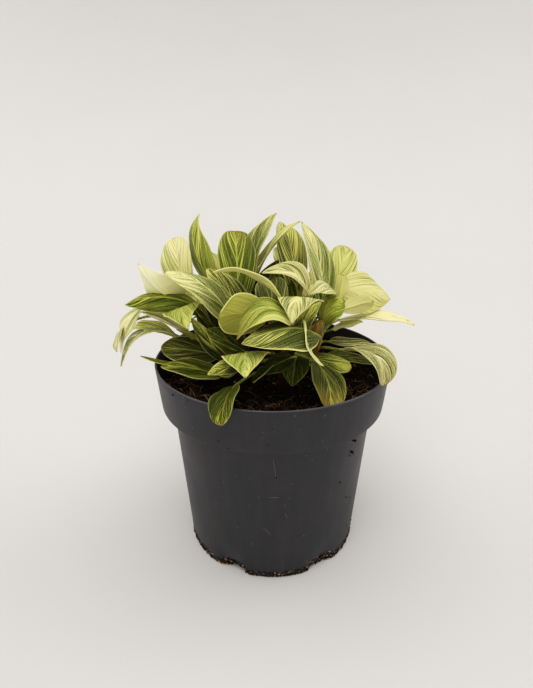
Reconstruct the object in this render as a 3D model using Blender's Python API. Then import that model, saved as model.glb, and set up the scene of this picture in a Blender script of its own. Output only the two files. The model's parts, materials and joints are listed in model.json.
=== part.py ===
"""Potted philodendron: a 12 cm grower's pot, its soil, and six leafy stems that stand in the soil.

Lengths are in millimetres in this file and become metres where a mesh is made.
The origin is the middle of the underside of the pot, with +Z up and the front towards -Y.
"""
import math

import bmesh
import bpy
from mathutils import Matrix, Vector, noise

MM = 0.001

# Pot
POT_HEIGHT = 104.0
RIM_RADIUS = 60.0
RIM_BAND_HEIGHT = 22.5
RIM_BAND_FOOT_RADIUS = 57.8
BODY_TOP_RADIUS = 52.3
BODY_FOOT_RADIUS = 46.0
WALL = 1.2
LIP_ROUNDING = 0.6
LIP_FLARE = 0.3
FOOT_RING_WIDTH = 1.7
FOOT_RING_SLOPE = 1.0
FLOOR_LIFT = 3.0
PAD_RADIUS = 18.0
PAD_SLOPE = 2.0
POT_SEGMENTS = 40

# Drainage notches in the foot ring, and holes in the lifted floor
NOTCH_COUNT = 6
NOTCH_WIDTH = 14.0
NOTCH_HEIGHT = 2.7
NOTCH_CUT_DEPTH = 8.0
NOTCH_TURN = 4.0
HOLE_RADIUS = 4.0
HOLE_CIRCLE_RADIUS = 31.0
HOLE_SIDES = 10

# Soil
FIT_GAP = 0.3
SOIL_HEIGHT = 97.0
SOIL_FALL = 1.4
SOIL_LUMPS = 1.3
SOIL_LUMP_SPACING = 11.0
SOIL_EDGE_SLACK = 0.2
SOIL_RINGS = 5
SOIL_SEGMENTS = 24

# Main stems
STEM_RADIUS = 2.2
STEM_TOP_RADIUS = 1.5
STEM_SIDES = 8
STEM_DEPTH = 13.0
COLLAR_HEIGHT = 3.0
LOWEST_LEAF_SHARE = 0.1
HIGHEST_LEAF_SHARE = 0.95

# Leaf stalks and blades
STALK_RADIUS = 0.85
STALK_TIP_RADIUS = 0.6
STALK_SIDES = 3
STALK_STEPS = 3
STALK_SUNK = 2.5
STALK_EASE = 0.35
BLADE_THICKNESS = 0.7
TIP_HALF_WIDTH = 0.4
WIDE_BLADE = 13.2
BLADE_STEPS = 5

# How fast each outline widens from its base and narrows towards its tip
OUTLINES = dict(pointed=(0.55, 0.82), blunt=(0.55, 0.55), wedge=(0.2, 0.95),
                long_tipped=(0.5, 1.15))

POT_COLOUR = (0.042, 0.042, 0.048)
SOIL_COLOUR = (0.022, 0.014, 0.009)
LEAF_COLOUR = (0.30, 0.42, 0.11)


def leaf(base, tip, faces, width, arch, fold=15, crest=0.5, curl=0, outline="pointed", hook=0):
    """One leaf: its blade runs from base to tip with its upper side towards faces.

    arch is how far the midrib bows towards the upper side, and crest where along it.
    fold is the angle in degrees that each half is raised, and curl how far its edges roll down.
    outline names the blade's outline, and hook is how far its tip bends to one side.
    """
    return dict(base=base, tip=tip, faces=faces, width=width, arch=arch,
                fold=fold, crest=crest, curl=curl, outline=outline, hook=hook)


# Each stem has the place where it enters the soil, its top, and its leaves from low to high.
LEFT_STEM = dict(foot=(-15, -9), top=(-20, -8, 119), leaves=dict(
    front_low_left=leaf((-23.5, -31.3, 106.3), (-51.2, -31.2, 110.9), (1, -28, 96), 12.8, 2.2, fold=1),
    low_left_tip=leaf((-36.8, -19.7, 103.9), (-63.6, -18.5, 110.6), (0, -6, 100), 4.5, -0.9),
    dark_left_round=leaf((-26.1, -17.2, 110.4), (-54.3, -15.2, 112.7), (-2, -65, 76), 14.7, 3,
                         fold=0, outline="blunt", hook=1.4),
    dark_blade_low=leaf((-12, -24, 115), (-30, -28, 128), (0, -80, 50), 12, 2),
    striped_dark=leaf((-22, -24, 111), (-37, -24, 132), (-40, -60, 60), 8, 1.5),
    green_hang=leaf((-46.1, -4.7, 113.8), (-71.9, -24.3, 108.0), (-40, -17, 90), 9.2, 11.6, fold=2,
                    crest=0.58, hook=-0.9),
    grey_under=leaf((-35, -13, 114), (-46, -15, 123), (35, 60, 70), 6.5, 1, fold=5),
    mid_left=leaf((-49.3, -1.0, 114.9), (-67.5, -12.0, 122.2), (-8, -22, 97), 13, 2.7, fold=7,
                  crest=0.67),
    pale_under=leaf((-41.4, -5.0, 117.5), (-63.2, -12.7, 131.3), (19, 11, 98), 12.5, 0.4, fold=12,
                    hook=-1),
    dark_blade_high=leaf((-22, -14, 117), (-36, -14, 136), (-20, -80, 50), 13, 2),
    far_left_tip=leaf((-76.0, 0.1, 118.5), (-77.0, -12.1, 110.0), (-77, -52, 38), 8.1, 1.6, fold=3),
    far_left=leaf((-66.3, -1.4, 128.8), (-79.3, 1.2, 104.1), (-56, -51, 65), 13.5, 4.5, fold=-8,
                  crest=0.42),
    green_left=leaf((-33.5, -10.3, 131.9), (-71.1, -10.7, 132.8), (0, -43, 90), 18, 7.2, fold=-22,
                    hook=1.5),
    triangle_left=leaf((-42.2, -16.0, 134.3), (-37.0, -36.3, 130.6), (-18, -48, 86), 18.1, 4,
                       fold=-3, outline="wedge", hook=-0.6),
    big_striped=leaf((-18.2, -22.2, 128.6), (-48.9, -18.8, 151.8), (-13, -23, 97), 17.2, 7.9,
                     fold=-12),
    pale_left=leaf((-44.9, -4.9, 135.4), (-62.9, -9.0, 153.5), (15, 92, 33), 22.7, -5.5, fold=20,
                   crest=0.55, outline="wedge"),
    mid_striped=leaf((-12, -10, 127), (-31, -12, 152), (-15, -50, 85), 15, 2),
    pale_round=leaf((-41.7, 1.6, 134.1), (-47.4, 17.8, 161.7), (-32, -93, 19), 17.5, 5.9, fold=11,
                    crest=0.59, outline="blunt", hook=-3.1),
    horn=leaf((-28.6, 0.9, 138.8), (-35.2, 15.9, 173.7), (-70, -71, 9), 16.5, 8.6, fold=-18,
              crest=0.70, outline="long_tipped", hook=-2.7)))

FRONT_STEM = dict(foot=(5, -21), top=(6, -23, 119), leaves=dict(
    hang_front=leaf((-15.9, -48.3, 109.7), (-20.0, -66.0, 101.0), (-57, -68, 47), 14.9, 2.5,
                    fold=15, outline="blunt"),
    brown_front=leaf((21.3, -23.7, 109.7), (26.0, -50.6, 99.2), (41, -53, 74), 17, 3.1, fold=7,
                     crest=0.55, outline="blunt", hook=1.5),
    dark_low_center=leaf((9, -34, 117), (-5, -43, 113), (15, -60, 78), 9, 1.5, fold=5),
    edge_front=leaf((3, -30, 112), (-8, -50, 112), (-30, 30, 90), 9, 1),
    dark_tip_front=leaf((10.7, -29.8, 114.9), (8.5, -46.6, 108.9), (-3, -70, 71), 13.2, 1.9,
                        fold=13),
    folded_small=leaf((-15.1, -38.0, 114.0), (-27.7, -49.8, 117.0), (20, -74, 65), 7, 2.7, fold=0,
                      hook=-1.4),
    triangle_front=leaf((-11.5, -36.4, 120.3), (-10.7, -59.8, 118.9), (-8, -47, 88), 21.3, 3.3,
                        fold=-4, outline="wedge"),
    edge_right=leaf((13.8, -41.2, 133.6), (21.4, -48.1, 119.0), (89, -4, 46), 8, -2.2, fold=1,
                    crest=0.64, hook=-1.5),
    dome_center=leaf((20.1, -35.1, 127.8), (-12.2, -50.4, 128.8), (-11, -45, 89), 21.5, 7,
                     fold=-26, crest=0.44, hook=1.4),
    center_upper=leaf((10.4, -33.5, 132.3), (-15.1, -36.9, 124.4), (1, -24, 97), 19.3, 14, fold=-4,
                      crest=0.42, hook=3.3),
    yellow_curl=leaf((-2.1, -28.4, 133.8), (-22.8, -39.3, 137.7), (-21, 97, 13), 21.1, 3.6,
                     fold=12, crest=0.54, curl=0.3, outline="blunt"),
    triangle_center=leaf((13.6, -25.1, 141.5), (8.1, -44.0, 136.3), (-16, -40, 90), 20.5, 5.7,
                         fold=-6, crest=0.53, outline="wedge"),
    narrow_arch=leaf((4.6, -28.2, 141.0), (-26.6, -25.9, 153.7), (-2, 41, 91), 12.5, 6.4, fold=-3,
                     crest=0.53, hook=1.7)))

RIGHT_STEM = dict(foot=(21, -3), top=(24, -2, 119), leaves=dict(
    red_sheath=leaf((19.9, -4.0, 110.6), (25.1, -9.4, 125.0), (-26, -95, 18), 2.6, -2, fold=25),
    yellow_tip=leaf((12.1, -6.5, 106.9), (38.2, -20.9, 106.9), (8, -47, 88), 11.7, 0, fold=-13,
                    crest=0.7, outline="blunt", hook=1.9),
    dark_right_low=leaf((27, -6, 106), (49, -14, 105), (0, -30, 90), 8, 1),
    dark_right_inner=leaf((19, -10, 108), (24, -8, 126), (-45, -85, 20), 8, 1, fold=10),
    big_right_droop=leaf((34.0, -21.1, 115.6), (48.6, -38.5, 105.2), (45, -32, 83), 19, 9.2,
                         fold=12, crest=0.75, outline="blunt", hook=-1.7),
    grey_right=leaf((29.4, 6.4, 108.7), (56.1, 1.3, 107.6), (2, -3, 100), 12.5, -0.8, fold=21,
                    hook=1.6),
    pale_right_long=leaf((35.2, 13.2, 118.5), (70.0, -6.9, 123.6), (-2, -9, 100), 12.5, 4.3,
                         fold=-5, crest=0.63, hook=1.8),
    dark_center=leaf((14.3, -13.5, 121.2), (22.4, -17.5, 138.1), (-53, -85, 0), 7.3, 4.9, fold=18),
    green_inner=leaf((25.7, -3.5, 123.0), (36.0, -3.7, 131.7), (-53, -62, 57), 16, 6.7, fold=0,
                     crest=0.62, outline="blunt", hook=-2.9),
    yellow_right_mid=leaf((34.2, -3.7, 129.3), (48.5, -7.5, 135.1), (4, 99, -14), 8.8, 2.5, fold=10,
                          outline="blunt"),
    yellow_inner=leaf((32.2, 1.0, 131.2), (34.2, 1.0, 146.0), (-11, 90, 42), 10.4, 0.5,
                      outline="blunt"),
    cream_right=leaf((34.7, 4.2, 138.0), (61.4, 14.0, 129.9), (-20, -77, 60), 23.5, 3.4, fold=-12,
                     crest=0.37),
    pale_fold=leaf((31.2, -0.4, 136.8), (14.5, -9.7, 137.5), (-10, -37, 93), 17, 8.1, fold=-12,
                   crest=0.73, hook=0.9),
    beige_arch=leaf((16.8, -8.3, 138.0), (-5.3, -9.9, 149.3), (-3, -55, 84), 10.9, 10, fold=21),
    yellow_top_right=leaf((30.4, 9.9, 133.4), (38.2, 33.4, 154.4), (26, -82, 51), 16.9, 5.3,
                          fold=1, outline="blunt", hook=2.3),
    big_top_right=leaf((23.8, -3.5, 132.6), (13.6, 10.1, 170.1), (52, -75, 41), 15.5, 6.2, fold=12,
                       crest=0.36, hook=0.4)))

MIDDLE_STEM = dict(foot=(-1, 6), top=(0, 5, 124), leaves=dict(
    middle_left_low=leaf((-9.8, 10.2, 111.1), (-29.9, 11.4, 115.6), (-35, 2, 88), 13, 3, fold=12),
    middle_right_low=leaf((5.4, 13.4, 111.9), (16.5, 22.3, 134.5), (71, 57, 48), 13, 3, fold=8,
                          outline="blunt"),
    middle_left=leaf((-19.3, 7.6, 119.5), (-42.1, 9.1, 120.0), (-17, 1, 90), 12, 5),
    dark_round_back=leaf((0, -6, 129), (-1, 4, 143), (0, -85, 50), 16.5, 5, outline="blunt"),
    middle_back=leaf((-3, 31, 127), (-4, 57, 124), (0, 30, 95), 13, 5),
    dark_center_right=leaf((9, 0, 131), (0, 6, 146), (0, -90, 40), 14, 2),
    heart_top=leaf((-17.4, -1.6, 131.9), (-20.5, 22.0, 163.6), (13, -58, 80), 19.7, 7.7, fold=13,
                   outline="blunt", hook=0.7),
    top_right_dark=leaf((12.4, 2.9, 137.3), (7.8, 18.6, 166.9), (-8, -86, 50), 14.4, 7.2,
                        crest=0.46, outline="blunt", hook=-1.6),
    top_mid=leaf((-10.9, 8.8, 142.7), (2.9, 17.9, 173.0), (-59, -51, 62), 15.3, 4.8, fold=20,
                 crest=0.44, hook=-1.7),
    thin_top=leaf((-11.2, 11.0, 134.9), (12.7, 1.8, 171.5), (-55, -19, 81), 11.5, 4.3, crest=0.55),
    behind_top=leaf((-9.8, 13.0, 126.7), (3.1, 15.0, 150.3), (10, -90, 30), 13, 2),
    pale_behind=leaf((6.2, 23.7, 147.2), (3.4, 28.5, 167.4), (26, -86, 44), 8.9, 3, fold=18,
                     outline="blunt")))

BACK_LEFT_STEM = dict(foot=(-16, 21), top=(-19, 24, 118), leaves=dict(
    back_lowest=leaf((-18.4, 37.1, 110.9), (-15.8, 64.3, 107.5), (0, 4, 89), 13, 3, outline="blunt"),
    back_left_low=leaf((-28, 32, 113), (-42, 56, 110), (0, 10, 100), 15, 6),
    back_low=leaf((-13, 36, 116), (-14, 61, 112), (0, 20, 100), 15, 6),
    back_left_outer=leaf((-24.5, 30.0, 119.7), (-49.9, 40.0, 115.8), (-2, 1, 89), 11, 4, fold=8,
                         outline="blunt"),
    back_left_side=leaf((-34, 22, 122), (-64, 28, 116), (-20, 20, 95), 15, 6),
    back_left_wide=leaf((-30, 27, 127), (-54, 44, 129), (-20, 30, 90), 17, 6),
    back_left_long=leaf((-22, 34, 128), (-30, 65, 122), (0, 50, 85), 18, 7),
    back_left_upright=leaf((-26, 24, 134), (-38, 34, 150), (-30, -60, 70), 15, 4),
    back_left_high=leaf((-15, 30, 135), (-14, 51, 149), (0, -50, 85), 16, 5)))

BACK_RIGHT_STEM = dict(foot=(16, 22), top=(19, 25, 118), leaves=dict(
    back_right_lowest=leaf((33.8, 24.0, 109.5), (49.3, 19.0, 115.4), (10, -8, 90), 14, 1, fold=4),
    back_right_low=leaf((27, 32, 113), (44, 53, 110), (0, 10, 100), 14, 6),
    back_middle_low=leaf((8, 38, 116), (9, 63, 113), (0, 20, 100), 15, 5),
    back_right_middle=leaf((18.8, 34.2, 114.2), (22.6, 61.2, 119.3), (4, 31, 88), 12, 2, fold=8),
    back_inner=leaf((10.5, 38.4, 122.7), (-6.5, 56.2, 120.2), (-4, 4, 90), 13, 2, fold=8,
                    outline="blunt"),
    back_right_outer=leaf((27.2, 29.8, 120.3), (48.5, 46.1, 119.8), (11, 8, 90), 13, 4, fold=8,
                          outline="blunt"),
    back_right_side=leaf((34, 24, 120), (63, 32, 112), (20, 20, 95), 14, 6),
    back_right_wide=leaf((28, 29, 128), (52, 46, 129), (20, 30, 90), 18, 7),
    back_right_long=leaf((18, 36, 130), (20, 67, 124), (0, 50, 85), 18, 7),
    back_right_upright=leaf((26, 26, 135), (31, 42, 148), (30, -60, 70), 14, 4),
    back_right_high=leaf((10, 32, 137), (5, 53, 150), (0, -50, 85), 16, 5)))

STEMS = dict(stem_left=LEFT_STEM, stem_front=FRONT_STEM, stem_right=RIGHT_STEM,
             stem_middle=MIDDLE_STEM, stem_back_left=BACK_LEFT_STEM,
             stem_back_right=BACK_RIGHT_STEM)


def clear_scene():
    for item in list(bpy.data.objects):
        bpy.data.objects.remove(item, do_unlink=True)


def plain_material(name, colour, roughness):
    material = bpy.data.materials.new(name)
    material.use_nodes = True
    shader = material.node_tree.nodes["Principled BSDF"]
    shader.inputs["Base Color"].default_value = (*colour, 1.0)
    shader.inputs["Roughness"].default_value = roughness
    shader.inputs["Metallic"].default_value = 0.0
    return material


def add_object(name, shape, collection=None):
    """Turn a bmesh in millimetres into an object in metres."""
    bmesh.ops.scale(shape, vec=(MM, MM, MM), verts=shape.verts)
    mesh = bpy.data.meshes.new(name)
    shape.to_mesh(mesh)
    shape.free()
    item = bpy.data.objects.new(name, mesh)
    (collection or bpy.context.scene.collection).objects.link(item)
    return item


def apply_modifiers(item):
    bpy.context.view_layer.update()
    graph = bpy.context.evaluated_depsgraph_get()
    item.data = bpy.data.meshes.new_from_object(item.evaluated_get(graph))
    item.modifiers.clear()


def join_or_cut(item, collection, operation):
    """Apply one Boolean with a whole collection, then remove the collection's objects."""
    boolean = item.modifiers.new(operation.title(), "BOOLEAN")
    boolean.operation = operation
    boolean.operand_type = "COLLECTION"
    boolean.collection = collection
    boolean.solver = "EXACT"
    apply_modifiers(item)
    for part in list(collection.objects):
        bpy.data.objects.remove(part, do_unlink=True)
    bpy.data.collections.remove(collection)


def new_collection(name):
    collection = bpy.data.collections.new(name)
    bpy.context.scene.collection.children.link(collection)
    return collection


def finish_object(item, material, smooth_angle=40.0):
    item.data.materials.clear()
    item.data.materials.append(material)
    item.data.shade_smooth()
    item.data.set_sharp_from_angle(angle=math.radians(smooth_angle))


def turned(profile, segments):
    """Spin a profile of (radius, height) pairs that starts and ends on the axis."""
    shape = bmesh.new()
    points = [shape.verts.new((radius, 0.0, height)) for radius, height in profile]
    edges = [shape.edges.new(pair) for pair in zip(points, points[1:])]
    bmesh.ops.spin(shape, geom=points + edges, cent=(0, 0, 0), axis=(0, 0, 1),
                   angle=math.tau, steps=segments, use_merge=True)
    bmesh.ops.remove_doubles(shape, verts=shape.verts, dist=0.001)
    bmesh.ops.recalc_face_normals(shape, faces=shape.faces)
    return shape


def wall_radius(height):
    """Outer radius of the pot's body at a height."""
    rise = height / (POT_HEIGHT - RIM_BAND_HEIGHT)
    return BODY_FOOT_RADIUS + rise * (BODY_TOP_RADIUS - BODY_FOOT_RADIUS)


def pot_profile():
    band_foot = POT_HEIGHT - RIM_BAND_HEIGHT
    floor_top = FLOOR_LIFT + WALL
    ring_inside = BODY_FOOT_RADIUS - FOOT_RING_WIDTH
    outside = [
        (0.0, 0.0),
        (PAD_RADIUS, 0.0),
        (PAD_RADIUS + PAD_SLOPE, FLOOR_LIFT),
        (ring_inside - FOOT_RING_SLOPE, FLOOR_LIFT),
        (ring_inside, 0.0),
        (BODY_FOOT_RADIUS, 0.0),
        (BODY_TOP_RADIUS, band_foot),
        (RIM_BAND_FOOT_RADIUS - LIP_ROUNDING, band_foot),
        (RIM_BAND_FOOT_RADIUS, band_foot + LIP_ROUNDING),
        (RIM_RADIUS, POT_HEIGHT - 2 * LIP_ROUNDING),
        (RIM_RADIUS, POT_HEIGHT - LIP_ROUNDING),
        (RIM_RADIUS - LIP_ROUNDING, POT_HEIGHT),
    ]
    inside = [
        (RIM_RADIUS - WALL - LIP_FLARE, POT_HEIGHT - LIP_ROUNDING),
        (RIM_BAND_FOOT_RADIUS - WALL, band_foot + WALL),
        (BODY_TOP_RADIUS - WALL, band_foot + WALL),
        (wall_radius(floor_top) - WALL, floor_top),
        (PAD_RADIUS + PAD_SLOPE, floor_top),
        (PAD_RADIUS, WALL),
        (0.0, WALL),
    ]
    return outside + inside


def make_pot():
    pot = add_object("pot", turned(pot_profile(), POT_SEGMENTS))
    cutters = new_collection("drainage_cutters")
    for index in range(NOTCH_COUNT):
        turn = math.radians(NOTCH_TURN + 360.0 / NOTCH_COUNT * index)
        notch = bmesh.new()
        bmesh.ops.create_cube(notch, size=1.0)
        bmesh.ops.scale(notch, vec=(NOTCH_CUT_DEPTH, NOTCH_WIDTH, 2 * NOTCH_HEIGHT), verts=notch.verts)
        bmesh.ops.translate(notch, vec=(BODY_FOOT_RADIUS, 0, 0), verts=notch.verts)
        bmesh.ops.rotate(notch, cent=(0, 0, 0), matrix=Matrix.Rotation(turn, 3, "Z"),
                         verts=notch.verts)
        add_object(f"notch_cutter_{index}", notch, cutters)
        hole = bmesh.new()
        bmesh.ops.create_cone(hole, cap_ends=True, segments=HOLE_SIDES, radius1=HOLE_RADIUS,
                              radius2=HOLE_RADIUS, depth=4 * WALL)
        place = Matrix.Rotation(turn, 3, "Z") @ Vector((HOLE_CIRCLE_RADIUS, 0, 0))
        bmesh.ops.translate(hole, vec=place + Vector((0, 0, FLOOR_LIFT)), verts=hole.verts)
        add_object(f"hole_cutter_{index}", hole, cutters)
    join_or_cut(pot, cutters, "DIFFERENCE")
    finish_object(pot, plain_material("charcoal_plastic", POT_COLOUR, 0.5), 30.0)


def soil_height(x, y):
    """Height of the soil's lumpy top, which falls a little towards the right."""
    place = Vector((x, y, 0)) / SOIL_LUMP_SPACING
    return SOIL_HEIGHT - SOIL_FALL * x / RIM_RADIUS + SOIL_LUMPS * noise.noise(place)


def make_soil():
    band_foot = POT_HEIGHT - RIM_BAND_HEIGHT
    floor_top = FLOOR_LIFT + WALL
    ledge = band_foot + WALL + FIT_GAP
    rim_slope = (RIM_RADIUS - RIM_BAND_FOOT_RADIUS) / RIM_BAND_HEIGHT
    ledge_radius = RIM_BAND_FOOT_RADIUS - WALL - FIT_GAP - SOIL_EDGE_SLACK
    edge_radius = ledge_radius + rim_slope * (SOIL_HEIGHT - ledge)
    body_gap = WALL + FIT_GAP
    profile = [
        (0.0, WALL + FIT_GAP),
        (PAD_RADIUS - FIT_GAP, WALL + FIT_GAP),
        (PAD_RADIUS + PAD_SLOPE - FIT_GAP, floor_top + FIT_GAP),
        (wall_radius(floor_top) - body_gap, floor_top + FIT_GAP),
        (BODY_TOP_RADIUS - body_gap, ledge),
        (ledge_radius, ledge),
    ]
    for ring in range(SOIL_RINGS + 1):
        profile.append((edge_radius * (1 - ring / SOIL_RINGS), SOIL_HEIGHT))
    shape = turned(profile, SOIL_SEGMENTS)
    for point in shape.verts:
        if point.co.z > SOIL_HEIGHT - 1.0:
            point.co.z = soil_height(point.co.x, point.co.y)
    soil = add_object("soil", shape)
    cutters = new_collection("stem_hole_cutters")
    for name, stem in STEMS.items():
        hole = bmesh.new()
        radius = STEM_RADIUS + FIT_GAP
        bmesh.ops.create_cone(hole, cap_ends=True, segments=STEM_SIDES, radius1=radius,
                              radius2=radius, depth=2 * (STEM_DEPTH + FIT_GAP))
        bmesh.ops.translate(hole, vec=(*stem["foot"], SOIL_HEIGHT), verts=hole.verts)
        add_object(f"{name}_hole", hole, cutters)
    join_or_cut(soil, cutters, "DIFFERENCE")
    finish_object(soil, plain_material("dark_peat", SOIL_COLOUR, 0.95), 60.0)


def bezier(points, share):
    """Point at a share of the way along a cubic curve of four points."""
    a, b, c, d = points
    rest = 1 - share
    return a * rest ** 3 + b * 3 * rest ** 2 * share + c * 3 * rest * share ** 2 + d * share ** 3


def tube(name, points, radii, sides, collection=None):
    """A closed round rod through the points, made by extruding its end face from one to the next."""
    shape = bmesh.new()
    bmesh.ops.create_circle(shape, cap_ends=True, segments=sides, radius=1.0)
    ring = list(shape.verts)
    pattern = [point.co.copy() for point in ring]
    cap = shape.faces[:][0]
    heading = Vector((0, 0, 1))
    turn = Matrix.Identity(3)
    for index, (centre, radius) in enumerate(zip(points, radii)):
        ahead = points[min(index + 1, len(points) - 1)] - points[max(index - 1, 0)]
        turn = heading.rotation_difference(ahead).to_matrix() @ turn
        heading = ahead
        if index:
            grown = bmesh.ops.extrude_face_region(shape, geom=[cap])["geom"]
            if index > 1:
                bmesh.ops.delete(shape, geom=[cap], context="FACES_ONLY")
            cap = next(part for part in grown if isinstance(part, bmesh.types.BMFace))
            ring = list(cap.verts)
            order = [min(range(sides), key=lambda k, p=point: (p.co - placed[k]).length)
                     for point in ring]
        else:
            order = list(range(sides))
        spots = [centre + turn @ (spot * radius) for spot in pattern]
        for point, spot in zip(ring, order):
            point.co = spots[spot]
        placed = spots
    bmesh.ops.recalc_face_normals(shape, faces=shape.faces)
    return add_object(name, shape, collection)


def midrib(row):
    """The midrib's three curve points and the blade's upper direction."""
    base, tip = Vector(row["base"]), Vector(row["tip"])
    along = (tip - base).normalized()
    up = Vector(row["faces"])
    up = (up - along * up.dot(along)).normalized()
    bend = base.lerp(tip, row["crest"]) + up * 2 * row["arch"]
    return base, bend, tip, along.cross(up)


def half_width(row, share):
    """Half of the blade's width at a share of the way from base to tip."""
    base_power, tip_power = OUTLINES[row["outline"]]
    widest = base_power / (base_power + tip_power)
    swell = (share / widest) ** base_power * ((1 - share) / (1 - widest)) ** tip_power
    return max(swell * row["width"] / 2, TIP_HALF_WIDTH)


def blade_point(row, share, side):
    """A point of the blade: share runs from base to tip, side from -1 to 1 across it."""
    base, bend, tip, across = midrib(row)
    rest = 1 - share
    centre = base * rest ** 2 + bend * 2 * rest * share + tip * share ** 2
    heading = ((bend - base) * rest + (tip - bend) * share).normalized()
    across = (across - heading * across.dot(heading)).normalized()
    normal = across.cross(heading)
    centre += across * row["hook"] * share ** 4
    half = half_width(row, share)
    reach = abs(side) * half
    fold = math.radians(row["fold"])
    lift = reach * math.sin(fold) - row["curl"] * half * side ** 2
    return centre + across * math.copysign(reach * math.cos(fold), side) + normal * lift


def make_blade(name, row, collection):
    columns = 4 if row["width"] >= WIDE_BLADE else 2
    shape = bmesh.new()
    bmesh.ops.create_grid(shape, x_segments=columns, y_segments=BLADE_STEPS, size=1.0)
    for point in shape.verts:
        side = point.co.x
        share = (point.co.y + 1) / 2
        point.co = blade_point(row, 0.5 - 0.5 * math.cos(math.pi * share), side)
    bmesh.ops.triangulate(shape, faces=shape.faces)
    blade = add_object(name, shape, collection)
    skin = blade.modifiers.new("Thickness", "SOLIDIFY")
    skin.thickness = BLADE_THICKNESS * MM
    skin.offset = 0.0
    return blade


def make_stalk(name, row, start, collection):
    """The stalk leaves the stem upwards and meets the blade along its midrib."""
    base, bend, _, _ = midrib(row)
    heading = (bend - base).normalized()
    reach = (base - start).length
    outward = (base - start).normalized()
    lift = Vector((0, 0, 1)) + outward
    points = (start, start + lift.normalized() * reach * STALK_EASE,
              base - heading * reach * STALK_EASE, base)
    route = [bezier(points, step / STALK_STEPS) for step in range(STALK_STEPS + 1)]
    route.append(base + heading * STALK_SUNK)
    count = len(route) - 1
    radii = [STALK_RADIUS + (STALK_TIP_RADIUS - STALK_RADIUS) * step / count
             for step in range(count + 1)]
    tube(name, route, radii, STALK_SIDES, collection)


def make_stem(name, stem, material):
    foot = Vector((*stem["foot"], SOIL_HEIGHT - STEM_DEPTH))
    collar = Vector((*stem["foot"], SOIL_HEIGHT + COLLAR_HEIGHT))
    top = Vector(stem["top"])
    middle_radius = (STEM_RADIUS + STEM_TOP_RADIUS) / 2
    item = tube(name, (foot, collar, collar.lerp(top, 0.5), top),
                (STEM_RADIUS, STEM_RADIUS, middle_radius, STEM_TOP_RADIUS), STEM_SIDES)
    parts = new_collection(f"{name}_parts")
    count = len(stem["leaves"])
    for index, (leaf_name, row) in enumerate(stem["leaves"].items()):
        rise = index / (count - 1)
        share = LOWEST_LEAF_SHARE + rise * (HIGHEST_LEAF_SHARE - LOWEST_LEAF_SHARE)
        start = collar.lerp(top, share)
        make_stalk(f"{leaf_name}_stalk", row, start, parts)
        make_blade(leaf_name, row, parts)
    join_or_cut(item, parts, "UNION")
    finish_object(item, material)


clear_scene()
make_pot()
make_soil()
leaf_material = plain_material("variegated_leaf", LEAF_COLOUR, 0.45)
for stem_name, stem_row in STEMS.items():
    make_stem(stem_name, stem_row, leaf_material)
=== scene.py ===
"""Looks of a potted philodendron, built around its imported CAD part.

Lengths are in millimetres in this file and become metres where a mesh is made.
The origin is the middle of the underside of the pot, with +Z up and the front towards -Y.
"""
import json
import math
import random

import bmesh
import bpy
from mathutils import Matrix, Vector, noise

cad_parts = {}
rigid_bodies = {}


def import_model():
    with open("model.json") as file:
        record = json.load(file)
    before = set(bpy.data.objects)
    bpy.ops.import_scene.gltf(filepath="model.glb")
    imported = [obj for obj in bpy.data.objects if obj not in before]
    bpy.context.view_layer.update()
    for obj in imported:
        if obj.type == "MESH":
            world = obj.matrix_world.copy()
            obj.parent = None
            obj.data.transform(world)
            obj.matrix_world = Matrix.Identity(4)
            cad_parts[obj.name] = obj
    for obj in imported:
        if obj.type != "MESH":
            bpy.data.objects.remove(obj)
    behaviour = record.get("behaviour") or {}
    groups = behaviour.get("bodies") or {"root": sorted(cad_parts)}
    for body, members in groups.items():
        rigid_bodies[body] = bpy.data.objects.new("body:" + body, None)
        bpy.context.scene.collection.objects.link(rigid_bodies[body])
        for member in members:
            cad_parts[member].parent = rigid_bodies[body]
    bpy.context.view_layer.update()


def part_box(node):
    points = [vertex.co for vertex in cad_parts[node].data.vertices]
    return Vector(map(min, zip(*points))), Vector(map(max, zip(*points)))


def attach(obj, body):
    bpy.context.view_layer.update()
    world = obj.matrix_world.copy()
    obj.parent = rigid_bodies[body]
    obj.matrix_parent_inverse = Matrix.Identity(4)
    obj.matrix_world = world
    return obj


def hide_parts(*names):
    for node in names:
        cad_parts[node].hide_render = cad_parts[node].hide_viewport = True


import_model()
MM = 0.001

# Pot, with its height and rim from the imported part
POT_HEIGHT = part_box("pot")[1].z / MM
RIM_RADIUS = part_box("pot")[1].x / MM
RIM_BAND_HEIGHT = 22.5
RIM_BAND_FOOT_RADIUS = 57.8
BAND_FOOT = POT_HEIGHT - RIM_BAND_HEIGHT
BODY_TOP_RADIUS = 52.3
BODY_FOOT_RADIUS = 46.0
WALL = 1.2
LIP_FLARE = 0.3
EDGE_ROUNDING = 0.55
FOOT_RING_WIDTH = 1.7
FOOT_RING_SLOPE = 1.0
FLOOR_LIFT = 3.0
FLOOR_TOP = FLOOR_LIFT + WALL
PAD_RADIUS = 18.0
PAD_SLOPE = 2.0
POT_SEGMENTS = 176
BODY_STEPS = 28
BODY_STEP_POWER = 1.25
BODY_STEPS_END = BAND_FOOT - 1.0
BAND_STEPS = 6
NOTCH_COUNT = 6
NOTCH_WIDTH = 14.0
NOTCH_HEIGHT = 2.7
NOTCH_CUT_DEPTH = 8.0
NOTCH_ROUNDING = 1.6
NOTCH_TURN = 4.0
DIMPLE_HEIGHT = 19.0
DIMPLE_HALF_WIDTH = 10.0
DIMPLE_DEPTH = 2.8
DIMPLE_FADE_POWER = 1.6
HOLE_RADIUS = 4.0
HOLE_CIRCLE_RADIUS = 31.0

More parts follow.
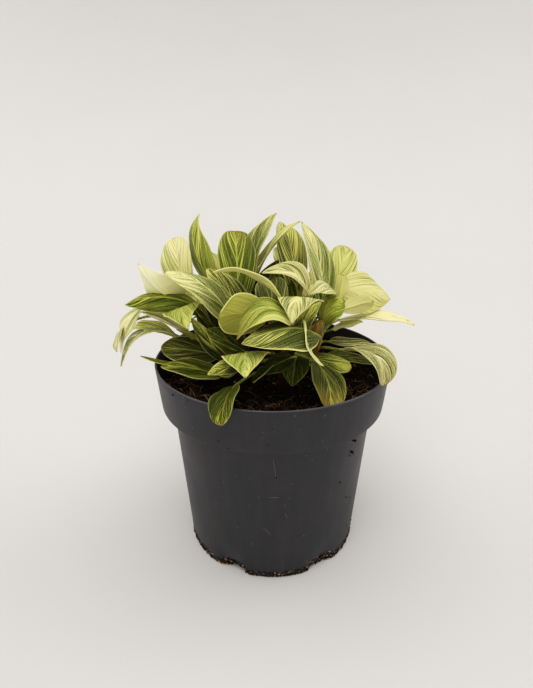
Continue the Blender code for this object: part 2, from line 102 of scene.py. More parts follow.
# Soil, with its ledge over the pot's step and its edge inside the rim band
FIT_GAP = 0.3
SOIL_HEIGHT = 97.0
SOIL_FALL = 1.4
SOIL_LUMPS = 1.3
SOIL_LUMP_SPACING = 11.0
SOIL_CLODS = 1.5
SOIL_CLOD_SPACING = 3.6
SOIL_GRAIN = 0.7
SOIL_GRAIN_SPACING = 1.3
SOIL_EDGE_SLACK = 0.2
SOIL_RINGS = 64
SOIL_SEGMENTS = 150
LEDGE_HEIGHT = BAND_FOOT + WALL + FIT_GAP
LEDGE_RADIUS = RIM_BAND_FOOT_RADIUS - WALL - FIT_GAP - SOIL_EDGE_SLACK
BAND_SLOPE = (RIM_RADIUS - RIM_BAND_FOOT_RADIUS) / RIM_BAND_HEIGHT
SOIL_RADIUS = LEDGE_RADIUS + BAND_SLOPE * (SOIL_HEIGHT - LEDGE_HEIGHT)

# Loose grains and fibres on the soil, where a size or length is the least value, what can
# come on top, and how rare the large ones are
CRUMB_COUNT = 1900
CRUMB_SIZE = (0.35, 0.95, 2.5)
CRUMB_EDGE_GAP = 0.8
FIBRE_COUNT = 460
FIBRE_LENGTH = (2.5, 10.0, 1.5)
FIBRE_RADII = (0.10, 0.24)
FIBRE_BEND = 1.8
FIBRE_LIFT = 1.6
FIBRE_STEPS = 6
FIBRE_EDGE_GAP = 0.7

# Tangles of fibre near the rim, each with its middle, radius and number of fibres
TANGLE_LIFT = 2.2
TANGLES = (((-44, -24), 7, 60), ((-37, -35), 6, 55), ((-29, -42), 6, 40), ((-2, -44), 11, 60),
           ((7, -47), 8, 40), ((40, -30), 8, 60), ((38, -14), 6, 25), ((20, -46), 7, 30))

# Peat on the outside of the pot, placed by turn in degrees from +X and by height
WALL_FIBRES = (((-89.5, 75.5), (-88.4, 69.3), (-87.9, 63.5)),
               ((-97.9, 53.0), (-88.8, 53.1), (-79.7, 52.2)),
               ((-82.7, 43.3), (-81.9, 41.6), (-81.4, 40.0)),
               ((-94.9, 33.7), (-92.4, 31.8), (-90.3, 29.4)),
               ((-124.2, 43.3), (-123.4, 42.7), (-122.9, 41.9)),
               ((-69.3, 9.2), (-66.3, 6.8), (-63.1, 4.4), (-56.8, 3.6), (-47.7, 3.4)))
WALL_FIBRE_RADIUS = 0.10

# Single grains on the wall, each with its size as the third number
WALL_CRUMBS = ((-87.9, 64.7, 0.45), (-83.9, 67.4, 0.3), (-140.1, 47.6, 0.35), (-48.5, 52.6, 0.6),
               (-138.3, 100.8, 0.6), (-127.7, 101.9, 0.35), (-90.0, 95.3, 0.3), (-91.7, 87.0, 0.3),
               (-113.5, 85.6, 0.4), (-109.2, 82.7, 0.3), (-40.0, 73.4, 1.0), (-42.3, 74.6, 0.5),
               (-41.3, 67.5, 1.2), (-43.0, 66.0, 0.6), (-38.8, 65.2, 0.5), (-39.5, 38.6, 0.4),
               (-33.5, 35.2, 0.35), (-32.1, 15.3, 0.35), (-27.1, 9.9, 0.4))

# Crust of grains round the foot, thickest at its middle turn, and plugs in two notches.
# A grain's middle is at least its size times the clearance above the table.
CRUST_COUNT = 1100
CRUST_SIZE = (0.25, 0.55, 2)
CRUST_RISE = (0.0, 3.0, 1.6)
CRUST_MIDDLE = -88.0
CRUST_SPREAD = 75.0
PLUG_TURNS = ((-125.5, -118.5), (-59.0, -46.0))
PLUG_COUNT = 130
PLUG_SIZES = (0.35, 0.8)
PLUG_LIFTS = (-1.6, 0.2)
TABLE_CLEARANCE = 1.1

# Main stems
STEM_RADIUS = 2.2
STEM_TOP_RADIUS = 1.5
STEM_DEPTH = 13.0
COLLAR_HEIGHT = 3.0
STEM_SIDES = 14
LOWEST_LEAF_SHARE = 0.1
HIGHEST_LEAF_SHARE = 0.95
STEM_TINT = (0.2, 1.0, 0.5, 0.0)
STEM_ROSY_REACH = 0.3

# Leaf stalks, which run on under their blades as midribs
STALK_RADIUS = 0.95
STALK_TIP_RADIUS = 0.6
STALK_SIDES = 8
STALK_STEPS = 12
STALK_EASE = 0.35
RIB_TIP_RADIUS = 0.16
RIB_REACH = 0.86
RIB_STEPS = 8
RIB_TAPER_POWER = 0.7
RIB_SINK = 0.75

# Blades; one narrower than the grooved or pleated half width has shallower relief
BLADE_THICKNESS = 0.42
TIP_HALF_WIDTH = 0.12
BLADE_COLUMNS = 14
BLADE_ROWS = 36
MIDRIB_GROOVE = 0.35
MIDRIB_GROOVE_WIDTH = 0.16
GROOVED_HALF_WIDTH = 4.0
PLEAT_DEPTH = 0.16
PLEAT_COUNT = 2.6
PLEATED_HALF_WIDTH = 6.0
EDGE_WAVE = 0.5
EDGE_WAVE_COUNT = 1.7
EDGE_WAVE_LEAF_SHIFT = 2.4
EDGE_WAVE_SIDE_SHIFT = 1.3

# A dry tip starts at a share of the blade, and browns by the rise over a blade's length
DRY_START = 0.55
DRY_RISE = 2.2

# Side veins slant towards the tip by their lean, and sweep on towards it near the edge
VEIN_LEAN = 3.7
VEIN_SWEEP = 0.30

# How fast each outline widens from its base and narrows towards its tip
OUTLINES = dict(pointed=(0.55, 0.82), blunt=(0.55, 0.55), wedge=(0.2, 0.95),
                long_tipped=(0.5, 1.15))

# Camera, backdrop and soft lights; a light has its direction, width in degrees and strength
CAMERA_PLACE = (0.0, -238.8, 204.8)
CAMERA_PITCH = 21.687
CAMERA_YAW = 0.740
CAMERA_LENS = 26.1
BACKDROP_FLOOR_RADIUS = 900.0
BACKDROP_CURVE_RADIUS = 2500.0
BACKDROP_CURVE_DEGREES = 75
BACKDROP_CURVE_STEPS = 24
ROOM_COLOUR = (1.0, 0.975, 0.95, 1.0)
ROOM_STRENGTH = 0.24
LIGHTS = dict(softbox_above=((0.0, 0.05, 1.0), 70.0, 1.36),
              softbox_front=((-0.15, -0.60, 0.80), 50.0, 0.85),
              softbox_left=((-0.85, 0.30, 0.45), 50.0, 0.72),
              softbox_right=((0.85, 0.30, 0.45), 50.0, 1.1))

# Brightness curve of the picture: darks are held down and the brightest tones eased
PICTURE_CURVE = ((0.04, 0.021), (0.20, 0.165), (0.50, 0.50), (0.75, 0.735))

# Colours of leaves and stalks, as red, green and blue
GREEN_LIGHT = (0.180, 0.280, 0.006)
GREEN_DARK = (0.0105, 0.0225, 0.0008)
CREAM = (0.88, 0.82, 0.45)
LIME = (0.58, 0.61, 0.070)
# The two underside colours below are lighter than the upper ones: partly the paler underside, partly
# painted light that shines through the blade.
UNDER_CREAM_WITH_PAINTED_LIGHT = (0.98, 0.93, 0.60)
UNDER_LIME_WITH_PAINTED_LIGHT = (0.64, 0.65, 0.085)
OLIVE = (0.36, 0.35, 0.05)
ROSE = (0.40, 0.085, 0.035)
PINK_BROWN = (0.34, 0.15, 0.07)
DRY_BROWN = (0.42, 0.30, 0.06)
STALK_GREEN = (0.16, 0.21, 0.035)
STALK_PALE = (0.42, 0.44, 0.15)
STALK_MAROON = (0.10, 0.020, 0.012)
STALK_ROSE = (0.26, 0.12, 0.05)
# The colour below is painted shade on the stems near the soil and on the stalks where they start.
STALK_FOOT_SHADE = (0.012, 0.007, 0.004)

# Colours of the pot, its scuffs and its dirt, and of its lip line, which is partly wear and partly
# painted highlight
CHARCOAL_DARK = (0.0140, 0.0140, 0.0190)
CHARCOAL = (0.0205, 0.0205, 0.0270)
SCUFF = (0.030, 0.029, 0.032)
LIP_WEAR_AND_HIGHLIGHT = (0.11, 0.105, 0.11)
DRY_DUST = (0.20, 0.15, 0.10)
DAMP_DIRT = (0.085, 0.055, 0.032)

# Peat and fibre: dark, warm and light tone of each, and its share of light grains
PEATS = dict(
    dark_peat=((0.004, 0.003, 0.0027), (0.018, 0.010, 0.0065), (0.10, 0.06, 0.03), 0.0),
    peat_grains=((0.005, 0.0036, 0.003), (0.028, 0.015, 0.009), (0.30, 0.19, 0.10), 0.12),
    coir_fibre=((0.035, 0.018, 0.010), (0.13, 0.065, 0.032), (0.32, 0.20, 0.11), 0.25),
    clinging_grains=((0.022, 0.012, 0.008), (0.10, 0.055, 0.032), (0.42, 0.33, 0.22), 0.25))

# Stripes: how often each kind comes along the midrib and across the blade, and its offset,
# which grows from leaf to leaf
BOLD_STRIPES = (12.0, 0.4, 0.0)
THIN_STRIPES = (36.0, 0.8, 20.0)
HAIRLINES = (72.0, 2.0, 40.0)
STRIPE_PATCHES = (3.5, 1.2, 80.0)
LEAF_OFFSET = 3.7

# Patterns, by how many times they repeat in a metre
STALK_STREAKS = 900.0
POT_STREAKS = 260.0
POT_CLOUDS = 24.0
POT_GRAIN = 2600.0
PEAT_GRAIN = 900.0
PEAT_CLODS = 190.0
PAPER_CLOUDS = 3.0

# Dust of the pot by size, its lip line of wear and painted highlight and its dirt by height, and how
# deep light goes into a leaf
DUST_SIZE = 3.2
LIP_LINE_START = 103.2
LIP_LINE_END = 103.9
DIRT_HEIGHT = 12.0
LEAF_GLOW_DEPTH = 0.6


def look(pale, deep, lime, tip=0.0, left=0.0, dry=0.0, rim=0.4, rosy=0.0):
    """Colours of a leaf, each as a share of 1.

    pale is the share of cream between the green stripes, and lime how yellow the pale parts
    are. deep is how dark the green is; past 1 its fine pale lines fade too, which paints shade
    on leaves that sit low and deep in the plant. tip is added to pale towards the tip, and left
    towards the left edge. dry is how brown the tip has gone, rim how clear the pale rim is, and
    rosy how red the leaf is.
    """
    return dict(pale=pale, deep=deep, lime=lime, tip=tip, left=left, dry=dry, rim=rim, rosy=rosy)


def leaf(colours, base, tip, faces, width, arch, fold=15, crest=0.5, curl=0, outline="pointed",
         hook=0):
    """One leaf: its colours, and its blade from base to tip with its upper side towards faces.

    arch is how far the midrib bows towards the upper side, and crest where along it.
    fold is the angle in degrees that each half is raised, and curl how far its edges roll down.
    outline names the blade's outline, and hook is how far its tip bends to one side.
    """
    return dict(colours=colours, base=base, tip=tip, faces=faces, width=width, arch=arch,
                fold=fold, crest=crest, curl=curl, outline=outline, hook=hook)


# Each stem has the place where it enters the soil, its top, and its leaves from low to high.
LEFT_STEM = dict(foot=(-15, -9), top=(-20, -8, 119), leaves=dict(
    front_low_left=leaf(
        look(0.08, 1.1, 0.9, tip=0.32, rim=0.5),
        (-23.5, -31.3, 106.3), (-51.2, -31.2, 110.9), (1, -28, 96), 12.8, 2.2, fold=1),
    low_left_tip=leaf(
        look(0.36, 0.75, 0.7, dry=0.3),
        (-36.8, -19.7, 103.9), (-63.6, -18.5, 110.6), (0, -6, 100), 4.5, -0.9),
    dark_left_round=leaf(
        look(0.06, 1.0, 0.7, tip=0.2, left=0.12, rim=0.6),
        (-26.1, -17.2, 110.4), (-54.3, -15.2, 112.7), (-2, -65, 76), 14.7, 3, fold=0,
        outline="blunt", hook=1.4),
    dark_blade_low=leaf(
        look(0.02, 1.2, 0.8, tip=0.22, left=0.12, rim=0.2),
        (-12, -24, 115), (-30, -28, 128), (0, -80, 50), 12, 2),
    striped_dark=leaf(
        look(0.22, 1.2, 0.75, tip=0.4, left=-0.1, rim=0.5),
        (-22, -24, 111), (-37, -24, 132), (-40, -60, 60), 8, 1.5),
    green_hang=leaf(
        look(0.54, 0.85, 0.1, tip=-0.3, rim=0.6),
        (-46.1, -4.7, 113.8), (-71.9, -24.3, 108.0), (-40, -17, 90), 9.2, 11.6, fold=2,
        crest=0.58, hook=-0.9),
    grey_under=leaf(
        look(0.2, 0.9, 0.2),
        (-35, -13, 114), (-46, -15, 123), (35, 60, 70), 6.5, 1, fold=5),
    mid_left=leaf(
        look(0.43, 0.55, 0.4, tip=0.3, left=-0.15, rim=0.5),
        (-49.3, -1.0, 114.9), (-67.5, -12.0, 122.2), (-8, -22, 97), 13, 2.7, fold=7, crest=0.67),
    pale_under=leaf(
        look(1.0, 0.0, 0.1),
        (-41.4, -5.0, 117.5), (-63.2, -12.7, 131.3), (19, 11, 98), 12.5, 0.4, fold=12, hook=-1),
    dark_blade_high=leaf(
        look(0.06, 1.18, 0.75, tip=0.4, rim=0.3),
        (-22, -14, 117), (-36, -14, 136), (-20, -80, 50), 13, 2),
    far_left_tip=leaf(
        look(0.6, 0.8, 0.1),
        (-76.0, 0.1, 118.5), (-77.0, -12.1, 110.0), (-77, -52, 38), 8.1, 1.6, fold=3),
    far_left=leaf(
        look(0.7, 0.5, 0.05, tip=0.4),
        (-66.3, -1.4, 128.8), (-79.3, 1.2, 104.1), (-56, -51, 65), 13.5, 4.5, fold=-8, crest=0.42),
    green_left=leaf(
        look(0.16, 0.88, 0.88, tip=0.4, left=-0.12, rim=0.3),
        (-33.5, -10.3, 131.9), (-71.1, -10.7, 132.8), (0, -43, 90), 18, 7.2, fold=-22, hook=1.5),
    triangle_left=leaf(
        look(0.46, 0.25, 0.6, tip=0.2, left=0.12, rim=0.9),
        (-42.2, -16.0, 134.3), (-37.0, -36.3, 130.6), (-18, -48, 86), 18.1, 4, fold=-3,
        outline="wedge", hook=-0.6),
    big_striped=leaf(
        look(0.32, 0.62, 0.2, tip=0.52, left=0.1, rim=0.5),
        (-18.2, -22.2, 128.6), (-48.9, -18.8, 151.8), (-13, -23, 97), 17.2, 7.9, fold=-12),
    pale_left=leaf(
        look(1.0, 0.0, 0.0),
        (-44.9, -4.9, 135.4), (-62.9, -9.0, 153.5), (15, 92, 33), 22.7, -5.5, fold=20, crest=0.55,
        outline="wedge"),
    mid_striped=leaf(
        look(0.36, 1.1, 0.55, tip=0.4, left=0.12),
        (-12, -10, 127), (-31, -12, 152), (-15, -50, 85), 15, 2),
    pale_round=leaf(
        look(0.66, 0.25, 0.12, tip=0.3, left=-0.12),
        (-41.7, 1.6, 134.1), (-47.4, 17.8, 161.7), (-32, -93, 19), 17.5, 5.9, fold=11, crest=0.59,
        outline="blunt", hook=-3.1),
    horn=leaf(
        look(0.42, 0.5, 0.65, tip=0.1, left=-0.07, rim=0.2),
        (-28.6, 0.9, 138.8), (-35.2, 15.9, 173.7), (-70, -71, 9), 16.5, 8.6, fold=-18, crest=0.70,
        outline="long_tipped", hook=-2.7)))

FRONT_STEM = dict(foot=(5, -21), top=(6, -23, 119), leaves=dict(
    # The low front leaves hang in the shade of those above; their depths past 1 are painted shade.
    hang_front=leaf(
        look(0.0, 1.12, 0.9, tip=0.35, rim=0.2),
        (-15.9, -48.3, 109.7), (-20.0, -66.0, 101.0), (-57, -68, 47), 14.9, 2.5, fold=15,
        outline="blunt"),
    brown_front=leaf(
        look(0.06, 1.12, 0.7, tip=0.32, left=0.12, dry=0.8, rim=0.2),
        (21.3, -23.7, 109.7), (26.0, -50.6, 99.2), (41, -53, 74), 17, 3.1, fold=7, crest=0.55,
        outline="blunt", hook=1.5),
    dark_low_center=leaf(
        look(0.0, 1.28, 0.9, rim=0.05),
        (9, -34, 117), (-5, -43, 113), (15, -60, 78), 9, 1.5, fold=5),
    edge_front=leaf(
        look(0.0, 1.35, 0.9, rim=0.2),
        (3, -30, 112), (-8, -50, 112), (-30, 30, 90), 9, 1),
    dark_tip_front=leaf(
        look(0.0, 1.6, 0.95, rim=0.0),
        (10.7, -29.8, 114.9), (8.5, -46.6, 108.9), (-3, -70, 71), 13.2, 1.9, fold=13),
    folded_small=leaf(
        look(0.25, 1.0, 0.7, tip=0.42, left=-0.2, rim=0.7),
        (-15.1, -38.0, 114.0), (-27.7, -49.8, 117.0), (20, -74, 65), 7, 2.7, fold=0, hook=-1.4),
    triangle_front=leaf(
        look(0.47, 0.3, 0.55, tip=0.15, left=0.12, rim=0.95),
        (-11.5, -36.4, 120.3), (-10.7, -59.8, 118.9), (-8, -47, 88), 21.3, 3.3, fold=-4,
        outline="wedge"),
    edge_right=leaf(
        look(0.95, 0.2, 0.3),
        (13.8, -41.2, 133.6), (21.4, -48.1, 119.0), (89, -4, 46), 8, -2.2, fold=1, crest=0.64,
        hook=-1.5),
    dome_center=leaf(
        look(0.0, 0.9, 0.6, tip=0.56, left=0.14, rim=1.0),
        (20.1, -35.1, 127.8), (-12.2, -50.4, 128.8), (-11, -45, 89), 21.5, 7, fold=-26,
        crest=0.44, hook=1.4),
    center_upper=leaf(
        look(0.57, 0.45, 0.6, left=0.06, dry=0.35, rim=0.9),
        (10.4, -33.5, 132.3), (-15.1, -36.9, 124.4), (1, -24, 97), 19.3, 14, fold=-4, crest=0.42,
        hook=3.3),
    yellow_curl=leaf(
        look(0.62, 0.35, 0.7, left=0.2, rim=1.0),
        (-2.1, -28.4, 133.8), (-22.8, -39.3, 137.7), (-21, 97, 13), 21.1, 3.6, fold=12,
        crest=0.54, curl=0.3, outline="blunt"),
    triangle_center=leaf(
        look(0.52, 0.65, 0.25, tip=0.15, rim=0.8),
        (13.6, -25.1, 141.5), (8.1, -44.0, 136.3), (-16, -40, 90), 20.5, 5.7, fold=-6, crest=0.53,
        outline="wedge"),
    narrow_arch=leaf(
        look(1.0, 0.1, 0.35, tip=0.2, rim=0.3),
        (4.6, -28.2, 141.0), (-26.6, -25.9, 153.7), (-2, 41, 91), 12.5, 6.4, fold=-3, crest=0.53,
        hook=1.7)))

RIGHT_STEM = dict(foot=(21, -3), top=(24, -2, 119), leaves=dict(
    red_sheath=leaf(
        look(0.25, 0.7, 0.6, tip=0.2, rosy=0.12),
        (19.9, -4.0, 110.6), (25.1, -9.4, 125.0), (-26, -95, 18), 2.6, -2, fold=25),
    yellow_tip=leaf(
        look(0.18, 1.05, 0.75, tip=0.8, rim=0.4),
        (12.1, -6.5, 106.9), (38.2, -20.9, 106.9), (8, -47, 88), 11.7, 0, fold=-13, crest=0.7,
        outline="blunt", hook=1.9),
    dark_right_low=leaf(
        look(0.14, 1.18, 0.7, tip=-0.1),
        (27, -6, 106), (49, -14, 105), (0, -30, 90), 8, 1),
    dark_right_inner=leaf(
        look(0.15, 1.05, 0.6, tip=0.4, dry=0.6, rosy=0.3),
        (19, -10, 108), (24, -8, 126), (-45, -85, 20), 8, 1, fold=10),
    big_right_droop=leaf(
        look(0.48, 0.62, 0.0, tip=0.05, dry=0.2, rim=0.5, rosy=0.05),
        (34.0, -21.1, 115.6), (48.6, -38.5, 105.2), (45, -32, 83), 19, 9.2, fold=12, crest=0.75,
        outline="blunt", hook=-1.7),
    grey_right=leaf(
        look(0.34, 0.95, 0.25, tip=0.3, rim=0.5),
        (29.4, 6.4, 108.7), (56.1, 1.3, 107.6), (2, -3, 100), 12.5, -0.8, fold=21, hook=1.6),
    pale_right_long=leaf(
        look(0.85, 0.4, 0.0, tip=0.4, left=0.1),
        (35.2, 13.2, 118.5), (70.0, -6.9, 123.6), (-2, -9, 100), 12.5, 4.3, fold=-5, crest=0.63,
        hook=1.8),
    dark_center=leaf(
        look(0.45, 1.0, 0.7, tip=0.35, left=0.25),
        (14.3, -13.5, 121.2), (22.4, -17.5, 138.1), (-53, -85, 0), 7.3, 4.9, fold=18),
    green_inner=leaf(
        look(0.7, 0.4, 0.8, tip=-0.3, left=0.3, rim=0.6),
        (25.7, -3.5, 123.0), (36.0, -3.7, 131.7), (-53, -62, 57), 16, 6.7, fold=0, crest=0.62,
        outline="blunt", hook=-2.9),
    yellow_right_mid=leaf(
        look(1.0, 0.0, 0.38),
        (34.2, -3.7, 129.3), (48.5, -7.5, 135.1), (4, 99, -14), 8.8, 2.5, fold=10, outline="blunt"),
    yellow_inner=leaf(
        look(1.0, 0.1, 0.5),
        (32.2, 1.0, 131.2), (34.2, 1.0, 146.0), (-11, 90, 42), 10.4, 0.5, outline="blunt"),
    cream_right=leaf(
        look(0.8, 0.6, 0.28, tip=-0.05),
        (34.7, 4.2, 138.0), (61.4, 14.0, 129.9), (-20, -77, 60), 23.5, 3.4, fold=-12, crest=0.37),
    pale_fold=leaf(
        look(0.45, 0.5, 0.05, tip=0.5, rim=0.7),
        (31.2, -0.4, 136.8), (14.5, -9.7, 137.5), (-10, -37, 93), 17, 8.1, fold=-12, crest=0.73,
        hook=0.9),
    beige_arch=leaf(
        look(0.7, 0.4, 0.05, rim=0.5, rosy=0.03),
        (16.8, -8.3, 138.0), (-5.3, -9.9, 149.3), (-3, -55, 84), 10.9, 10, fold=21),
    yellow_top_right=leaf(
        look(0.72, 0.6, 0.5, tip=-0.1, dry=0.15, rim=0.5),
        (30.4, 9.9, 133.4), (38.2, 33.4, 154.4), (26, -82, 51), 16.9, 5.3, fold=1,
        outline="blunt", hook=2.3),
    big_top_right=leaf(
        look(0.4, 0.52, 0.15, tip=0.22, left=0.13),
        (23.8, -3.5, 132.6), (13.6, 10.1, 170.1), (52, -75, 41), 15.5, 6.2, fold=12, crest=0.36,
        hook=0.4)))

MIDDLE_STEM = dict(foot=(-1, 6), top=(0, 5, 124), leaves=dict(
    middle_left_low=leaf(
        look(0.4, 0.8, 0.3),
        (-9.8, 10.2, 111.1), (-29.9, 11.4, 115.6), (-35, 2, 88), 13, 3, fold=12),
    middle_right_low=leaf(
        look(0.25, 0.9, 0.5),
        (5.4, 13.4, 111.9), (16.5, 22.3, 134.5), (71, 57, 48), 13, 3, fold=8, outline="blunt"),
    middle_left=leaf(
        look(0.36, 0.6, 0.55),
        (-19.3, 7.6, 119.5), (-42.1, 9.1, 120.0), (-17, 1, 90), 12, 5),
    dark_round_back=leaf(
        look(0.27, 0.9, 0.45, tip=-0.1),
        (0, -6, 129), (-1, 4, 143), (0, -85, 50), 16.5, 5, outline="blunt"),
    middle_back=leaf(
        look(0.46, 0.4, 0.7),
        (-3, 31, 127), (-4, 57, 124), (0, 30, 95), 13, 5),
    dark_center_right=leaf(
        look(0.34, 1.15, 0.9, tip=-0.35),
        (9, 0, 131), (0, 6, 146), (0, -90, 40), 14, 2),
    heart_top=leaf(
        look(0.3, 0.75, 0.75, left=0.15, dry=0.3, rim=0.3),
        (-17.4, -1.6, 131.9), (-20.5, 22.0, 163.6), (13, -58, 80), 19.7, 7.7, fold=13,
        outline="blunt", hook=0.7),
    top_right_dark=leaf(
        look(0.37, 1.0, 0.58, tip=0.4),
        (12.4, 2.9, 137.3), (7.8, 18.6, 166.9), (-8, -86, 50), 14.4, 7.2, crest=0.46,
        outline="blunt", hook=-1.6),
    top_mid=leaf(
        look(0.16, 0.7, 0.3, tip=0.56),
        (-10.9, 8.8, 142.7), (2.9, 17.9, 173.0), (-59, -51, 62), 15.3, 4.8, fold=20, crest=0.44,
        hook=-1.7),
    thin_top=leaf(
        look(0.58, 0.6, 0.35, tip=0.15, left=0.1),
        (-11.2, 11.0, 134.9), (12.7, 1.8, 171.5), (-55, -19, 81), 11.5, 4.3, crest=0.55),
    behind_top=leaf(
        look(0.12, 1.1, 0.6),
        (-9.8, 13.0, 126.7), (3.1, 15.0, 150.3), (10, -90, 30), 13, 2),
    pale_behind=leaf(
        look(0.75, 0.4, 0.1),
        (6.2, 23.7, 147.2), (3.4, 28.5, 167.4), (26, -86, 44), 8.9, 3, fold=18, outline="blunt")))

BACK_LEFT_STEM = dict(foot=(-16, 21), top=(-19, 24, 118), leaves=dict(
    back_lowest=leaf(
        look(0.36, 0.6, 0.55),
        (-18.4, 37.1, 110.9), (-15.8, 64.3, 107.5), (0, 4, 89), 13, 3, outline="blunt"),
    back_left_low=leaf(
        look(0.3, 0.8, 0.75),
        (-28, 32, 113), (-42, 56, 110), (0, 10, 100), 15, 6),
    back_low=leaf(
        look(0.38, 0.65, 0.5),
        (-13, 36, 116), (-14, 61, 112), (0, 20, 100), 15, 6),
    back_left_outer=leaf(
        look(0.62, 0.45, 0.25),
        (-24.5, 30.0, 119.7), (-49.9, 40.0, 115.8), (-2, 1, 89), 11, 4, fold=8, outline="blunt"),
    back_left_side=leaf(
        look(0.58, 0.5, 0.2, tip=0.2),
        (-34, 22, 122), (-64, 28, 116), (-20, 20, 95), 15, 6),
    back_left_wide=leaf(
        look(0.5, 0.6, 0.15, left=0.2),
        (-30, 27, 127), (-54, 44, 129), (-20, 30, 90), 17, 6),
    back_left_long=leaf(
        look(0.46, 0.5, 0.6, rim=0.6),
        (-22, 34, 128), (-30, 65, 122), (0, 50, 85), 18, 7),
    back_left_upright=leaf(
        look(0.7, 0.45, 0.2),
        (-26, 24, 134), (-38, 34, 150), (-30, -60, 70), 15, 4),
    back_left_high=leaf(
        look(0.78, 0.35, 0.15, left=-0.2),
        (-15, 30, 135), (-14, 51, 149), (0, -50, 85), 16, 5)))

BACK_RIGHT_STEM = dict(foot=(16, 22), top=(19, 25, 118), leaves=dict(
    back_right_lowest=leaf(
        look(0.9, 0.3, 0.3),
        (33.8, 24.0, 109.5), (49.3, 19.0, 115.4), (10, -8, 90), 14, 1, fold=4),
    back_right_low=leaf(
        look(0.22, 0.9, 0.5),
        (27, 32, 113), (44, 53, 110), (0, 10, 100), 14, 6),
    back_middle_low=leaf(
        look(0.46, 0.5, 0.6, tip=0.2),
        (8, 38, 116), (9, 63, 113), (0, 20, 100), 15, 5),
    back_right_middle=leaf(
        look(0.42, 0.55, 0.65),
        (18.8, 34.2, 114.2), (22.6, 61.2, 119.3), (4, 31, 88), 12, 2, fold=8),
    back_inner=leaf(
        look(0.3, 0.8, 0.75),
        (10.5, 38.4, 122.7), (-6.5, 56.2, 120.2), (-4, 4, 90), 13, 2, fold=8, outline="blunt"),
    back_right_outer=leaf(
        look(0.75, 0.4, 0.2, tip=0.2),
        (27.2, 29.8, 120.3), (48.5, 46.1, 119.8), (11, 8, 90), 13, 4, fold=8, outline="blunt"),
    back_right_side=leaf(
        look(0.38, 0.65, 0.5, rim=0.6),
        (34, 24, 120), (63, 32, 112), (20, 20, 95), 14, 6),
    back_right_wide=leaf(
        look(0.8, 0.45, 0.15, left=0.2),
        (28, 29, 128), (52, 46, 129), (20, 30, 90), 18, 7),
    back_right_long=leaf(
        look(0.4, 0.75, 0.35, tip=0.2),
        (18, 36, 130), (20, 67, 124), (0, 50, 85), 18, 7),
    back_right_upright=leaf(
        look(0.36, 0.6, 0.55),
        (26, 26, 135), (31, 42, 148), (30, -60, 70), 14, 4),
    back_right_high=leaf(
        look(0.52, 0.6, 0.15, left=-0.2),
        (10, 32, 137), (5, 53, 150), (0, -50, 85), 16, 5)))

STEMS = dict(stem_left=LEFT_STEM, stem_front=FRONT_STEM, stem_right=RIGHT_STEM,
             stem_middle=MIDDLE_STEM, stem_back_left=BACK_LEFT_STEM,
             stem_back_right=BACK_RIGHT_STEM)


# Mesh helpers

def add_object(name, shape, collection=None):
    """Turn a bmesh in millimetres into an object in metres."""
    bmesh.ops.scale(shape, vec=(MM, MM, MM), verts=shape.verts)
    mesh = bpy.data.meshes.new(name)
    shape.to_mesh(mesh)
    shape.free()
    item = bpy.data.objects.new(name, mesh)
    (collection or bpy.context.scene.collection).objects.link(item)
    return item


def append_shape(whole, shape):
    """Add one bmesh to another and free it."""
    mesh = bpy.data.meshes.new("part")
    shape.to_mesh(mesh)
    shape.free()
    whole.from_mesh(mesh)
    bpy.data.meshes.remove(mesh)


def apply_modifiers(item):
    """Put what an object's modifiers make of it in place of its mesh."""
    bpy.context.view_layer.update()
    graph = bpy.context.evaluated_depsgraph_get()
    item.data = bpy.data.meshes.new_from_object(item.evaluated_get(graph))
    item.modifiers.clear()


def smooth(item, angle):
    """Shade an object smooth, with its edges over an angle in degrees kept sharp."""
    item.data.shade_smooth()
    item.data.set_sharp_from_angle(angle=math.radians(angle))


def finish_piece(item, materials, angle, node=None):
    """Give a piece its materials, its body and the CAD node it stands for."""
    for material in materials:
        item.data.materials.append(material)
    smooth(item, angle)
    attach(item, "root")
    if node:
        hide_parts(node)


def turned(profile, segments):
    """Spin a profile of (radius, height) pairs that starts on the axis."""
    shape = bmesh.new()
    points = [shape.verts.new((radius, 0.0, height)) for radius, height in profile]
    edges = [shape.edges.new(pair) for pair in zip(points, points[1:])]
    bmesh.ops.spin(shape, geom=points + edges, cent=(0, 0, 0), axis=(0, 0, 1),
                   angle=math.tau, steps=segments, use_merge=True)
    bmesh.ops.remove_doubles(shape, verts=shape.verts, dist=0.001)
    bmesh.ops.recalc_face_normals(shape, faces=shape.faces)
    return shape


def tube(points, radii, sides):
    """A closed round rod through the points, made by extruding its end face from one to the next."""
    shape = bmesh.new()
    bmesh.ops.create_circle(shape, cap_ends=True, segments=sides, radius=1.0)
    ring = list(shape.verts)
    pattern = [point.co.copy() for point in ring]
    cap = shape.faces[:][0]
    heading = Vector((0, 0, 1))
    turn = Matrix.Identity(3)
    for index, (centre, radius) in enumerate(zip(points, radii)):
        ahead = points[min(index + 1, len(points) - 1)] - points[max(index - 1, 0)]
        turn = heading.rotation_difference(ahead).to_matrix() @ turn
        heading = ahead
        if index:
            grown = bmesh.ops.extrude_face_region(shape, geom=[cap])["geom"]
            if index > 1:
                bmesh.ops.delete(shape, geom=[cap], context="FACES_ONLY")
            cap = next(part for part in grown if isinstance(part, bmesh.types.BMFace))
            ring = list(cap.verts)
            order = [min(range(sides), key=lambda k, p=point: (p.co - placed[k]).length)
                     for point in ring]
        else:
            order = list(range(sides))
        spots = [centre + turn @ (spot * radius) for spot in pattern]
        for point, spot in zip(ring, order):
            point.co = spots[spot]
        placed = spots
    bmesh.ops.recalc_face_normals(shape, faces=shape.faces)
    return shape


def bezier(points, share):
    """Point at a share of the way along a cubic curve of four points."""
    a, b, c, d = points
    rest = 1 - share
    return a * rest ** 3 + b * 3 * rest ** 2 * share + c * 3 * rest * share ** 2 + d * share ** 3


# Material helpers

